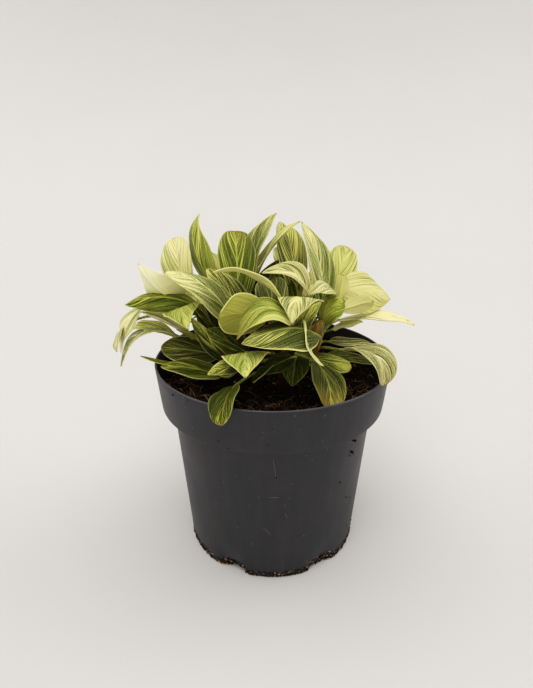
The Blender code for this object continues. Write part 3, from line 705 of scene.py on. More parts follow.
def new_material(name):
    """A new material, its node tree and its shader."""
    material = bpy.data.materials.new(name)
    material.use_nodes = True
    return material, material.node_tree, material.node_tree.nodes["Principled BSDF"]


def add_node(tree, kind, **settings):
    """Add a shader node and set its properties by name."""
    made = tree.nodes.new(kind)
    for name, value in settings.items():
        setattr(made, name, value)
    return made


def feed(tree, socket, value):
    """Give an input socket a link or a plain value."""
    if isinstance(value, bpy.types.NodeSocket):
        tree.links.new(value, socket)
    else:
        socket.default_value = value


def set_inputs(tree, node, values):
    """Give inputs of a node, by name, their links or plain values."""
    for label, value in values.items():
        feed(tree, node.inputs[label], value)


def math_node(tree, operation, *values):
    made = add_node(tree, "ShaderNodeMath", operation=operation)
    for socket, value in zip(made.inputs, values):
        feed(tree, socket, value)
    return made.outputs[0]


def times(tree, first, second):
    return math_node(tree, "MULTIPLY", first, second)


def ramp_between(tree, value, low, high, to_low=0.0, to_high=1.0):
    """Smooth step from to_low to to_high as value goes from low to high."""
    made = add_node(tree, "ShaderNodeMapRange", interpolation_type="SMOOTHSTEP")
    for socket, part in zip(made.inputs, (value, low, high, to_low, to_high)):
        feed(tree, socket, part)
    return made.outputs[0]


def mix_colour(tree, share, first, second):
    """Go from the first colour to the second as share goes from 0 to 1."""
    made = add_node(tree, "ShaderNodeMix", data_type="RGBA")
    feed(tree, made.inputs[0], share)
    for socket, colour in ((6, first), (7, second)):
        feed(tree, made.inputs[socket], (*colour, 1.0) if isinstance(colour, tuple) else colour)
    return made.outputs[2]


def coated(tree, colour, *coats):
    """A colour under coats, each given by its share and its own colour."""
    for share, coat in coats:
        colour = mix_colour(tree, share, colour, coat)
    return colour


def split(tree, kind, value):
    """The three parts of a place (XYZ) or a colour (Color)."""
    made = add_node(tree, f"ShaderNodeSeparate{kind}")
    tree.links.new(value, made.inputs[0])
    return tuple(made.outputs)


def attribute(tree, name, output="Fac"):
    """A value that the mesh keeps at each of its points."""
    return add_node(tree, "ShaderNodeAttribute", attribute_name=name).outputs[output]


def noise_value(tree, place, scale, detail=2.0, roughness=0.5):
    made = add_node(tree, "ShaderNodeTexNoise")
    set_inputs(tree, made, {"Vector": place, "Scale": scale, "Detail": detail,
                            "Roughness": roughness})
    return made.outputs["Fac"]


def object_place(tree, stretch=(1.0, 1.0, 1.0)):
    """Object coordinates, stretched along the axes."""
    source = add_node(tree, "ShaderNodeTexCoord")
    mapping = add_node(tree, "ShaderNodeMapping")
    set_inputs(tree, mapping, {"Vector": source.outputs["Object"], "Scale": stretch})
    return mapping.outputs["Vector"]


def set_bump(tree, shader, height, strength, depth):
    """Fine relief that follows a pattern, with its depth in millimetres."""
    bump = add_node(tree, "ShaderNodeBump")
    set_inputs(tree, bump, {"Height": height, "Strength": strength, "Distance": depth * MM})
    tree.links.new(bump.outputs["Normal"], shader.inputs["Normal"])


def new_group(name, inputs, outputs):
    """A shader node group with sockets of the given kinds, its inputs, and its output node."""
    tree = bpy.data.node_groups.new(name, "ShaderNodeTree")
    for side, sockets in (("INPUT", inputs), ("OUTPUT", outputs)):
        for label, kind in sockets.items():
            tree.interface.new_socket(label, in_out=side, socket_type=f"NodeSocket{kind}")
    return tree, add_node(tree, "NodeGroupInput").outputs, add_node(tree, "NodeGroupOutput")


def use_group(tree, group, **values):
    """Place a node group with the given values for its inputs, and give its outputs."""
    made = add_node(tree, "ShaderNodeGroup", node_tree=group)
    set_inputs(tree, made, values)
    return made.outputs


# Node groups

def make_stripe_group():
    """Stripes that follow the side veins of a blade, from its place, veins and tint."""
    tree, given, result = new_group(
        "Blade stripes", dict(Place="Vector", Vein="Float", Tint="Color", Shift="Float"),
        dict(Stripes="Float", Hairlines="Float", Margin="Float", Tip="Float"))
    side, share, number = split(tree, "XYZ", given["Place"])
    across = math_node(tree, "ABSOLUTE", side)
    pale = split(tree, "Color", given["Tint"])[0]

    def cloud(often, often_across, offset, detail=1.0):
        """A noise drawn out along the side veins, another one on each leaf."""
        spot = add_node(tree, "ShaderNodeCombineXYZ")
        set_inputs(tree, spot, dict(
            X=times(tree, given["Vein"], often), Y=times(tree, side, often_across),
            Z=math_node(tree, "MULTIPLY_ADD", number, LEAF_OFFSET, offset)))
        return noise_value(tree, spot.outputs[0], 1.0, detail)

    def lines(kind, width, softness):
        """Thin lines where a noise crosses its middle, wider as width grows."""
        off_middle = math_node(tree, "ABSOLUTE", math_node(tree, "SUBTRACT", cloud(*kind), 0.5))
        inside = math_node(tree, "SUBTRACT", width, off_middle)
        return ramp_between(tree, inside, -softness, softness)

    patch = math_node(tree, "SUBTRACT", cloud(*STRIPE_PATCHES, detail=0.0), 0.5)
    cream = math_node(tree, "MULTIPLY_ADD", patch, 0.5, pale)
    cream = math_node(tree, "MAXIMUM", math_node(tree, "SUBTRACT", cream, given["Shift"]), 0.0)
    width = times(tree, math_node(tree, "POWER", cream, 1.8), 0.15)
    bold = lines(BOLD_STRIPES, width, 0.018)
    thin = lines(THIN_STRIPES, times(tree, width, 0.8), 0.022)
    stripes = math_node(tree, "MAXIMUM", bold, times(tree, thin, 0.85))
    midrib_line = times(tree, ramp_between(tree, across, 0.02, 0.07, 1.0, 0.0),
                        ramp_between(tree, pale, 0.05, 0.4, 0.35, 0.8))
    set_inputs(tree, result, dict(
        Stripes=math_node(tree, "MAXIMUM", stripes, midrib_line),
        Hairlines=ramp_between(tree, cloud(*HAIRLINES), 0.42, 0.62),
        Margin=ramp_between(tree, across, 0.90, 0.975),
        Tip=ramp_between(tree, share, 0.97, 0.995)))
    return tree


def make_dust_group():
    """Specks and smudges of peat dust, from a place and their size and amount."""
    tree, given, result = new_group(
        "Peat dust", dict(Place="Vector", Size="Float", Amount="Float"),
        dict(Specks="Float", Smudges="Float"))
    scale = math_node(tree, "DIVIDE", 1.0, given["Size"])
    grains = add_node(tree, "ShaderNodeTexVoronoi", feature="F1")
    set_inputs(tree, grains, dict(Vector=given["Place"], Scale=scale))
    size = times(tree, split(tree, "Color", grains.outputs["Color"])[0], given["Amount"])
    near = math_node(tree, "SUBTRACT", size, grains.outputs["Distance"])
    smears = noise_value(tree, given["Place"], times(tree, scale, 0.16), 4.0, 0.6)
    set_inputs(tree, result, dict(Specks=ramp_between(tree, near, 0.0, 0.06),
                                  Smudges=ramp_between(tree, smears, 0.52, 0.78)))
    return tree


# Materials

def tint_parts(tree):
    """The tint attribute, and its pale share, depth of green and lime share."""
    tint = attribute(tree, "tint", "Color")
    return tint, *split(tree, "Color", tint)


def leaf_stripes(tree, stripe_group, tint, shift):
    """The stripes of a blade, narrower where shift is above 0."""
    return use_group(tree, stripe_group, Place=attribute(tree, "place", "Vector"),
                     Vein=attribute(tree, "vein"), Tint=tint, Shift=shift)


def finish_blade(tree, shader, veins, colour, rim_share, rim_lime, roughness):
    """Add the pale rim, the dry and pinkish tip and any red, and let light glow through."""
    rim = times(tree, veins["Margin"], attribute(tree, "rim"))
    colour = coated(
        tree, colour,
        (times(tree, rim, rim_share), mix_colour(tree, rim_lime, CREAM, LIME)),
        (times(tree, attribute(tree, "tint", "Alpha"), 0.8), DRY_BROWN),
        (times(tree, veins["Tip"], 0.7), PINK_BROWN),
        (attribute(tree, "rosy"), ROSE))
    set_inputs(tree, shader, {
        "Base Color": colour, "Roughness": roughness, "Specular IOR Level": 0.10,
        "Subsurface Weight": 0.5, "Subsurface Radius": (1.0, 0.9, 0.3),
        "Subsurface Scale": LEAF_GLOW_DEPTH * MM})


def make_blade_material(stripe_group):
    """Green with cream stripes along the side veins, fine pale lines and a waxy sheen."""
    material, tree, shader = new_material("blade_upper_side")
    tint, _, deep, lime = tint_parts(tree)
    veins = leaf_stripes(tree, stripe_group, tint, 0.0)
    green = mix_colour(tree, deep, GREEN_LIGHT, GREEN_DARK)
    pale = mix_colour(tree, lime, CREAM, LIME)
    # Past a depth of 1 the fine pale lines fade: painted shade for leaves deep in the plant.
    lighter = mix_colour(tree, ramp_between(tree, deep, 1.0, 1.3, 0.22, 0.03), green, pale)
    ground = mix_colour(tree, times(tree, veins["Hairlines"], 0.75), green, lighter)
    colour = mix_colour(tree, veins["Stripes"], ground, pale)
    gloss = ramp_between(tree, veins["Hairlines"], 0.0, 1.0, 0.36, 0.5)
    finish_blade(tree, shader, veins, colour, 1.0, 0.35, gloss)
    height = math_node(tree, "MULTIPLY_ADD", veins["Hairlines"], 0.4, veins["Stripes"])
    set_bump(tree, shader, height, 0.35, 0.12)
    return material


def make_underside_material(stripe_group):
    """Paler and plainer than the upper side, partly from painted light that shines through the blade,
    with the stripes showing through.
    """
    material, tree, shader = new_material("blade_underside")
    tint, share, deep, lime = tint_parts(tree)
    veins = leaf_stripes(tree, stripe_group, tint, -0.03)
    green = mix_colour(tree, 0.6, mix_colour(tree, deep, GREEN_LIGHT, GREEN_DARK), OLIVE)
    # The underside's pale colours hold painted light that shines through the blade.
    pale = mix_colour(tree, lime, UNDER_CREAM_WITH_PAINTED_LIGHT, UNDER_LIME_WITH_PAINTED_LIGHT)
    flat = mix_colour(tree, ramp_between(tree, share, 0.1, 0.95), green, pale)
    striped = mix_colour(tree, veins["Stripes"], green, pale)
    finish_blade(tree, shader, veins, mix_colour(tree, 0.35, flat, striped), 0.8, 0.25, 0.55)
    set_bump(tree, shader, veins["Hairlines"], 0.25, 0.1)
    return material


def make_stalk_material():
    """Stalks dark and rosy low down, darkest near the soil and the stem with painted shade, then pale
    green, and under a blade as pale as the blade.
    """
    material, tree, shader = new_material("leaf_stalk")
    along = split(tree, "XYZ", attribute(tree, "place", "Vector"))[1]
    _, share, _, lime = tint_parts(tree)
    streaks = noise_value(tree, object_place(tree, (1.0, 1.0, 0.12)), STALK_STREAKS)
    green = mix_colour(tree, ramp_between(tree, streaks, 0.35, 0.65), STALK_GREEN, STALK_PALE)
    pale = mix_colour(tree, ramp_between(tree, share, 0.1, 0.95), OLIVE,
                      mix_colour(tree, lime, CREAM, LIME))
    colour = coated(
        tree, STALK_MAROON,
        (streaks, STALK_ROSE),
        # Painted shade on the stems near the soil and on the stalks where they leave the stem.
        (ramp_between(tree, along, 0.0, 0.16, 0.85, 0.0), STALK_FOOT_SHADE),
        (ramp_between(tree, along, 0.05, 0.5), green),
        (ramp_between(tree, along, 0.8, 1.05, 0.0, 0.9), pale),
        (attribute(tree, "rosy"), ROSE))
    set_inputs(tree, shader, {"Base Color": colour, "Roughness": 0.45,
                              "Specular IOR Level": 0.2})
    set_bump(tree, shader, streaks, 0.3, 0.1)
    return material


def make_pot_material():
    """Charcoal plastic with a fine grain, drawn streaks, scuffs, peat dust low down, and a light line
    round the lip that is partly wear and partly painted highlight.
    """
    material, tree, shader = new_material("charcoal_plastic")
    place = object_place(tree)
    height = split(tree, "XYZ", place)[2]
    drawn = noise_value(tree, object_place(tree, (1.0, 1.0, 0.06)), POT_STREAKS, 3.0, 0.6)
    cloud = noise_value(tree, place, POT_CLOUDS, 4.0, 0.6)
    grain = noise_value(tree, place, POT_GRAIN, 2.0, 0.6)
    dust = use_group(tree, make_dust_group(), Place=place, Size=DUST_SIZE * MM, Amount=0.16)
    # A lighter line along the top of the lip: partly wear, partly a painted highlight.
    lip_wear_and_highlight = ramp_between(tree, height, LIP_LINE_START * MM, LIP_LINE_END * MM)
    lip_wear_and_highlight = times(tree, lip_wear_and_highlight, ramp_between(tree, cloud, 0.35, 0.6, 0.35, 1.0))
    low = ramp_between(tree, height, 0.0, DIRT_HEIGHT * MM, 1.0, 0.0)
    dirt = math_node(tree, "MAXIMUM", times(tree, low, dust["Smudges"]),
                     times(tree, dust["Smudges"], 0.16))
    colour = coated(
        tree, CHARCOAL_DARK,
        (ramp_between(tree, drawn, 0.3, 0.7), CHARCOAL),
        (ramp_between(tree, cloud, 0.4, 0.75, 0.0, 0.35), SCUFF),
        (times(tree, dust["Specks"], 0.55), DRY_DUST),
        (lip_wear_and_highlight, LIP_WEAR_AND_HIGHLIGHT),
        (dirt, DAMP_DIRT))
    set_inputs(tree, shader, {"Base Color": colour, "Specular IOR Level": 0.7,
                              "Roughness": ramp_between(tree, cloud, 0.3, 0.7, 0.40, 0.52)})
    set_bump(tree, shader, math_node(tree, "MULTIPLY_ADD", drawn, 0.6, grain), 0.22, 0.08)
    return material


def make_peat_material(name):
    """Peat whose grains go from near black to brown, with a few light ones."""
    dark, warm, light, light_share = PEATS[name]
    material, tree, shader = new_material(name)
    place = object_place(tree)
    grain = noise_value(tree, place, PEAT_GRAIN, 4.0, 0.65)
    clods = noise_value(tree, place, PEAT_CLODS, 3.0, 0.6)
    colour = coated(
        tree, dark,
        (ramp_between(tree, grain, 0.4, 0.72), warm),
        (ramp_between(tree, clods, 0.45, 0.7, 0.0, 0.6), dark),
        (ramp_between(tree, attribute(tree, "tone"), 1.0 - light_share, 1.0), light))
    set_inputs(tree, shader, {"Base Color": colour, "Roughness": 0.92,
                              "Specular IOR Level": 0.12})
    set_bump(tree, shader, math_node(tree, "MULTIPLY_ADD", clods, 0.5, grain), 0.8, 0.6)
    return material


# Pot

def wall_radius(height):
    """Outer radius of the pot's body or rim band at a height."""
    if height >= BAND_FOOT:
        rise = (height - BAND_FOOT) / RIM_BAND_HEIGHT
        return RIM_BAND_FOOT_RADIUS + rise * (RIM_RADIUS - RIM_BAND_FOOT_RADIUS)
    return BODY_FOOT_RADIUS + height / BAND_FOOT * (BODY_TOP_RADIUS - BODY_FOOT_RADIUS)


def from_notch(turn):
    """Degrees from a turn to the middle of the nearest drainage notch."""
    turn -= NOTCH_TURN
    return turn - round(turn * NOTCH_COUNT / 360.0) * 360.0 / NOTCH_COUNT


def dimple_depth(turn, height, radius):
    """How far the wall is pressed in above a notch, most at the foot and fading upwards."""
    across = math.radians(from_notch(turn)) * radius / DIMPLE_HALF_WIDTH
    fade = max(0.0, 1 - height / DIMPLE_HEIGHT) ** DIMPLE_FADE_POWER
    return DIMPLE_DEPTH * max(0.0, 1 - across ** 2) ** 2 * fade


def on_wall(turn, height, lift=0.0):
    """A point on the pot's outside, turn degrees round from +X."""
    radius = wall_radius(height)
    radius += lift - dimple_depth(turn, height, radius)
    angle = math.radians(turn)
    return Vector((radius * math.cos(angle), radius * math.sin(angle), height))


def rounded_corner(radius, height, start, end, steps=4):
    """Arc points round a corner of the profile, from start to end degrees about its centre."""
    angles = [math.radians(start + (end - start) * step / steps) for step in range(steps + 1)]
    return [(radius + EDGE_ROUNDING * math.cos(angle), height + EDGE_ROUNDING * math.sin(angle))
            for angle in angles]


def wall_points(low, high, steps, power=1.0, inset=0.0):
    """Points of the wall between two heights, closer near the first one if power is over 1."""
    heights = [low + (high - low) * (step / steps) ** power for step in range(1, steps)]
    return [(wall_radius(height) - inset, height) for height in heights]


def pot_profile():
    """The pot's section: under its foot, up the outside, over the lip and down the inside."""
    ring_inside = BODY_FOOT_RADIUS - FOOT_RING_WIDTH
    soft = EDGE_ROUNDING
    return [
        (0.0, 0.0),
        (PAD_RADIUS, 0.0),
        (PAD_RADIUS + PAD_SLOPE, FLOOR_LIFT),
        (ring_inside - FOOT_RING_SLOPE, FLOOR_LIFT),
        (ring_inside, 0.0),
        *rounded_corner(BODY_FOOT_RADIUS - soft, soft, -90, 0),
        *wall_points(soft, BODY_STEPS_END, BODY_STEPS, BODY_STEP_POWER),
        *rounded_corner(BODY_TOP_RADIUS + soft, BAND_FOOT - soft, 180, 90),
        *rounded_corner(RIM_BAND_FOOT_RADIUS - soft, BAND_FOOT + soft, -90, 0),
        *wall_points(BAND_FOOT + soft, POT_HEIGHT - soft, BAND_STEPS),
        *rounded_corner(RIM_RADIUS - soft, POT_HEIGHT - soft, 0, 180, 8),
        (RIM_RADIUS - WALL - LIP_FLARE, POT_HEIGHT - 3 * soft),
        (RIM_BAND_FOOT_RADIUS - WALL, BAND_FOOT + WALL),
        (BODY_TOP_RADIUS - WALL, BAND_FOOT + WALL),
        *wall_points(BAND_FOOT, FLOOR_TOP, BODY_STEPS, inset=WALL),
        (wall_radius(FLOOR_TOP) - WALL, FLOOR_TOP),
        (PAD_RADIUS + PAD_SLOPE, FLOOR_TOP),
        (PAD_RADIUS, WALL),
        (0.0, WALL)]


def press_dimples(shape):
    """Press the wall in above each drainage notch."""
    for point in shape.verts:
        radius = math.hypot(point.co.x, point.co.y)
        if radius > BODY_FOOT_RADIUS - 3 * WALL:
            turn = math.degrees(math.atan2(point.co.y, point.co.x))
            depth = dimple_depth(turn, point.co.z, radius)
            point.co.x *= (radius - depth) / radius
            point.co.y *= (radius - depth) / radius


def make_drainage_cutters():
    """A block for each notch in the foot and a rod for each hole in the floor."""
    cutters = bpy.data.collections.new("drainage_cutters")
    bpy.context.scene.collection.children.link(cutters)
    for index in range(NOTCH_COUNT):
        turn = Matrix.Rotation(math.radians(NOTCH_TURN + 360.0 / NOTCH_COUNT * index), 3, "Z")
        notch = bmesh.new()
        bmesh.ops.create_cube(notch, size=1.0)
        bmesh.ops.scale(notch, vec=(NOTCH_CUT_DEPTH, NOTCH_WIDTH, 2 * NOTCH_HEIGHT),
                        verts=notch.verts)
        bmesh.ops.bevel(notch, geom=notch.edges, offset=NOTCH_ROUNDING, segments=4, profile=0.5,
                        affect="EDGES", material=-1)
        bmesh.ops.translate(notch, vec=(BODY_FOOT_RADIUS, 0, 0), verts=notch.verts)
        bmesh.ops.rotate(notch, cent=(0, 0, 0), matrix=turn, verts=notch.verts)
        add_object(f"notch_cutter_{index}", notch, cutters)
        hole = bmesh.new()
        bmesh.ops.create_cone(hole, cap_ends=True, segments=32, radius1=HOLE_RADIUS,
                              radius2=HOLE_RADIUS, depth=4 * WALL)
        bmesh.ops.translate(hole, vec=turn @ Vector((HOLE_CIRCLE_RADIUS, 0, FLOOR_LIFT)),
                            verts=hole.verts)
        add_object(f"hole_cutter_{index}", hole, cutters)
    return cutters


def make_pot(material):
    """The turned pot, with its drainage notches and holes cut out."""
    shape = turned(pot_profile(), POT_SEGMENTS)
    press_dimples(shape)
    pot = add_object("charcoal_pot", shape)
    cutters = make_drainage_cutters()
    cut = pot.modifiers.new("Drainage", "BOOLEAN")
    cut.operation = "DIFFERENCE"
    cut.operand_type = "COLLECTION"
    cut.collection = cutters
    cut.solver = "EXACT"
    apply_modifiers(pot)
    for cutter in list(cutters.objects):
        bpy.data.objects.remove(cutter, do_unlink=True)
    bpy.data.collections.remove(cutters)
    finish_piece(pot, [material], 35.0, "pot")


# Soil

def soil_height(x, y):
    """Height of the soil's top, lumpy at three sizes, which falls a little towards the right."""
    place = Vector((x, y, 0))
    height = SOIL_HEIGHT - SOIL_FALL * x / RIM_RADIUS
    height += SOIL_LUMPS * noise.noise(place / SOIL_LUMP_SPACING)
    height += SOIL_CLODS * noise.noise(place / SOIL_CLOD_SPACING + Vector((0, 0, 5)))
    return height + SOIL_GRAIN * noise.noise(place / SOIL_GRAIN_SPACING + Vector((0, 0, 9)))


def make_soil(material):
    """The body of peat, which fills the pot up to its ledge and then up inside the rim band."""
    gap = WALL + FIT_GAP
    profile = [
        (0.0, gap),
        (PAD_RADIUS - FIT_GAP, gap),
        (PAD_RADIUS + PAD_SLOPE - FIT_GAP, FLOOR_TOP + FIT_GAP),
        (wall_radius(FLOOR_TOP) - gap, FLOOR_TOP + FIT_GAP),
        (BODY_TOP_RADIUS - gap, LEDGE_HEIGHT),
        (LEDGE_RADIUS, LEDGE_HEIGHT)]
    for ring in range(SOIL_RINGS + 1):
        profile.append((SOIL_RADIUS * (1 - ring / SOIL_RINGS), SOIL_HEIGHT))
    shape = turned(profile, SOIL_SEGMENTS)
    for point in shape.verts:
        if point.co.z > SOIL_HEIGHT - 1.0:
            point.co.z = soil_height(point.co.x, point.co.y)
    finish_piece(add_object("peat_soil", shape), [material], 80.0, "soil")


def finish_peat(name, shape, material, angle=50.0):
    """Make a piece of loose peat, which stands for no CAD node."""
    finish_piece(add_object(name, shape), [material], angle)


def crumb_shape(place, size, chance):
    """An uneven grain of peat with its own tone."""
    shape = bmesh.new()
    tone = shape.verts.layers.float.new("tone")
    bmesh.ops.create_icosphere(shape, subdivisions=1, radius=size)
    value = chance.random()
    stretch = Vector((chance.uniform(0.6, 1.5), chance.uniform(0.6, 1.3), chance.uniform(0.5, 0.9)))
    turn = Matrix.Rotation(chance.uniform(0, math.tau), 3, "Z")
    turn = turn @ Matrix.Rotation(chance.uniform(-0.6, 0.6), 3, "X")
    for point in shape.verts:
        rough = 1 + chance.uniform(-0.25, 0.25)
        point.co = place + turn @ (point.co * stretch * rough)
        point[tone] = value
    return shape


def fibre_shape(route, radius, value, sides=4):
    """A root or coir fibre along a route, thinner towards both ends."""
    count = len(route) - 1
    radii = [radius * (0.35 + 0.65 * math.sin(math.pi * step / count)) for step in range(count + 1)]
    shape = tube(route, radii, sides)
    tone = shape.verts.layers.float.new("tone")
    for point in shape.verts:
        point[tone] = value
    return shape


def mostly_small(chance, least, extra, power):
    """A random size from least to least + extra, seldom a large one."""
    return least + extra * chance.random() ** power


def spot_in_circle(radius, chance, middle=(0.0, 0.0)):
    """A random place in a circle, as likely in one part of it as in another."""
    out = radius * math.sqrt(chance.random())
    angle = chance.uniform(0, math.tau)
    return middle[0] + out * math.cos(angle), middle[1] + out * math.sin(angle)


def make_crumbs(material):
    """Loose grains over the whole top of the soil."""
    chance = random.Random(4)
    whole = bmesh.new()
    for _ in range(CRUMB_COUNT):
        size = mostly_small(chance, *CRUMB_SIZE)
        x, y = spot_in_circle(SOIL_RADIUS - CRUMB_EDGE_GAP - size, chance)
        place = Vector((x, y, soil_height(x, y) + size * 0.25))
        append_shape(whole, crumb_shape(place, size, chance))
    finish_peat("peat_crumbs", whole, material)


def lying_fibre(x, y, length, lift, chance):
    """A fibre's route in a loose curve over the soil, kept inside the rim."""
    heading = chance.uniform(0, math.tau)
    bend = chance.uniform(-FIBRE_BEND, FIBRE_BEND)
    widest = SOIL_RADIUS - FIBRE_EDGE_GAP
    route = []
    for step in range(FIBRE_STEPS + 1):
        share = step / FIBRE_STEPS
        z = soil_height(x, y) + 0.15 + lift * math.sin(math.pi * share)
        route.append(Vector((x, y, z)))
        x += length / FIBRE_STEPS * math.cos(heading + bend * share)
        y += length / FIBRE_STEPS * math.sin(heading + bend * share)
        if math.hypot(x, y) > widest + 0.1:
            x *= widest / math.hypot(x, y)
            y *= widest / math.hypot(x, y)
    return route


def make_fibres(material):
    """Root and coir fibres that lie in loose curves on the soil, thickest near the front rim."""
    chance = random.Random(7)
    circles = [((0.0, 0.0), SOIL_RADIUS - 2.0)] * FIBRE_COUNT
    for middle, radius, count in TANGLES:
        circles += [(middle, radius)] * count
    whole = bmesh.new()
    for index, (middle, radius) in enumerate(circles):
        in_tangle = index >= FIBRE_COUNT
        x, y = spot_in_circle(radius, chance, middle)
        if math.hypot(x, y) > SOIL_RADIUS - 1.0:
            continue
        length = mostly_small(chance, *FIBRE_LENGTH)
        lift = chance.uniform(0.0, TANGLE_LIFT if in_tangle else FIBRE_LIFT)
        route = lying_fibre(x, y, length, lift, chance)
        tone = chance.random() ** (0.5 if in_tangle else 1.0)
        append_shape(whole, fibre_shape(route, chance.uniform(*FIBRE_RADII), tone))
    finish_peat("peat_fibres", whole, material, 60.0)


def make_wall_peat(material):
    """Fibres and grains of peat that stick to the outside, and a crust of them round the foot."""
    chance = random.Random(12)
    whole = bmesh.new()
    for fibre in WALL_FIBRES:
        corners = [on_wall(turn, height, WALL_FIBRE_RADIUS * 0.6) for turn, height in fibre]
        route = []
        for first, second in zip(corners, corners[1:]):
            route += [first.lerp(second, step / 3) for step in range(3)]
        append_shape(whole, fibre_shape(route + corners[-1:], WALL_FIBRE_RADIUS, 0.9, sides=5))
    for turn, height, size in WALL_CRUMBS:
        append_shape(whole, crumb_shape(on_wall(turn, height, size * 0.1), size, chance))
    for _ in range(CRUST_COUNT):
        turn = chance.gauss(CRUST_MIDDLE, CRUST_SPREAD)
        size = mostly_small(chance, *CRUST_SIZE)
        height = size * TABLE_CLEARANCE + mostly_small(chance, *CRUST_RISE)
        if abs(math.radians(from_notch(turn))) * BODY_FOOT_RADIUS < NOTCH_WIDTH / 2:
            height += NOTCH_HEIGHT
        append_shape(whole, crumb_shape(on_wall(turn, height, -0.2 * size), size, chance))
    for first, last in PLUG_TURNS:
        for _ in range(PLUG_COUNT):
            size = chance.uniform(*PLUG_SIZES)
            height = chance.uniform(size * TABLE_CLEARANCE, NOTCH_HEIGHT)
            spot = on_wall(chance.uniform(first, last), height, chance.uniform(*PLUG_LIFTS))
            append_shape(whole, crumb_shape(spot, size, chance))
    finish_peat("clinging_peat", whole, material)


# Stems and leaves

def midrib(row):
    """The midrib's three curve points and the direction across the blade."""
    base, tip = Vector(row["base"]), Vector(row["tip"])
    along = (tip - base).normalized()
    up = Vector(row["faces"])
    up = (up - along * up.dot(along)).normalized()
    bend = base.lerp(tip, row["crest"]) + up * 2 * row["arch"]
    return base, bend, tip, along.cross(up)


def half_width(row, share):
    """Half of the blade's width at a share of the way from base to tip."""
    base_power, tip_power = OUTLINES[row["outline"]]
    widest = base_power / (base_power + tip_power)
    swell = (share / widest) ** base_power * ((1 - share) / (1 - widest)) ** tip_power
    return max(swell * row["width"] / 2, TIP_HALF_WIDTH)


def midrib_frame(row, share):
    """The midrib's point, the direction across the blade and its upper normal."""
    base, bend, tip, across = midrib(row)
    rest = 1 - share
    centre = base * rest ** 2 + bend * 2 * rest * share + tip * share ** 2
    heading = ((bend - base) * rest + (tip - bend) * share).normalized()
    across = (across - heading * across.dot(heading)).normalized()
    return centre + across * row["hook"] * share ** 4, across, across.cross(heading)


def vein_start(row, share, side):
    """Where the side vein through a point of the blade leaves the midrib, as a share of its length."""
    length = (Vector(row["tip"]) - Vector(row["base"])).length + row["arch"]
    lean = VEIN_LEAN * abs(side) * half_width(row, share) / length
    return share - lean - VEIN_SWEEP * abs(side) ** 3


def midrib_groove(half):
    """Depth of the groove over the midrib where the blade is twice half wide."""
    return MIDRIB_GROOVE * min(1.0, half / GROOVED_HALF_WIDTH)


def blade_point(row, share, side, number):
    """A point of the blade: share runs from base to tip, side from -1 to 1 across it."""
    centre, across, normal = midrib_frame(row, share)
    half = half_width(row, share)
    far = abs(side)
    reach = far * half
    fold = math.radians(row["fold"])
    lift = reach * math.sin(fold) - row["curl"] * half * side ** 2
    lift -= midrib_groove(half) * max(0.0, 1 - far / MIDRIB_GROOVE_WIDTH)
    relief = min(1.0, half / PLEATED_HALF_WIDTH)
    pleat = math.sin(math.tau * PLEAT_COUNT * vein_start(row, share, side)) * 4 * far * (1 - far)
    phase = number * EDGE_WAVE_LEAF_SHIFT + (EDGE_WAVE_SIDE_SHIFT if side > 0 else 0.0)
    wave = far ** 2 * math.sin(math.tau * EDGE_WAVE_COUNT * share + phase)
    lift += relief * (PLEAT_DEPTH * pleat + EDGE_WAVE * wave)
    return centre + across * math.copysign(reach * math.cos(fold), side) + normal * lift


def blade_tint(colours, share, side):
    """Pale share, depth of green, lime share and dryness at a point of the blade."""
    pale = colours["pale"] + colours["tip"] * share ** 2 - colours["left"] * side
    dry = colours["dry"] * max(0.0, share - DRY_START) * DRY_RISE
    return min(max(pale, 0.0), 1.0), colours["deep"], colours["lime"], min(dry, 1.0)


def add_layers(shape):
    """Layers for a point's place on its leaf, its tint, its rim and red, and its side vein."""
    layers = shape.verts.layers
    return (layers.float_vector.new("place"), layers.float_color.new("tint"),
            layers.float.new("rim"), layers.float.new("rosy"), layers.float.new("vein"))


def blade_surface(row, number):
    """The blade's upper surface, with each point's place and tint kept for the material."""
    colours = row["colours"]
    shape = bmesh.new()
    place, tint, rim, rosy, vein = add_layers(shape)
    bmesh.ops.create_grid(shape, x_segments=BLADE_COLUMNS, y_segments=BLADE_ROWS, size=1.0)
    for point in shape.verts:
        side = point.co.x
        share = 0.5 - 0.5 * math.cos(math.pi * (point.co.y + 1) / 2)
        point.co = blade_point(row, share, side, number)
        point[place] = Vector((side, share, number))
        point[vein] = vein_start(row, share, side)
        point[tint] = blade_tint(colours, share, side)
        point[rim] = colours["rim"]
        point[rosy] = colours["rosy"]
    return shape


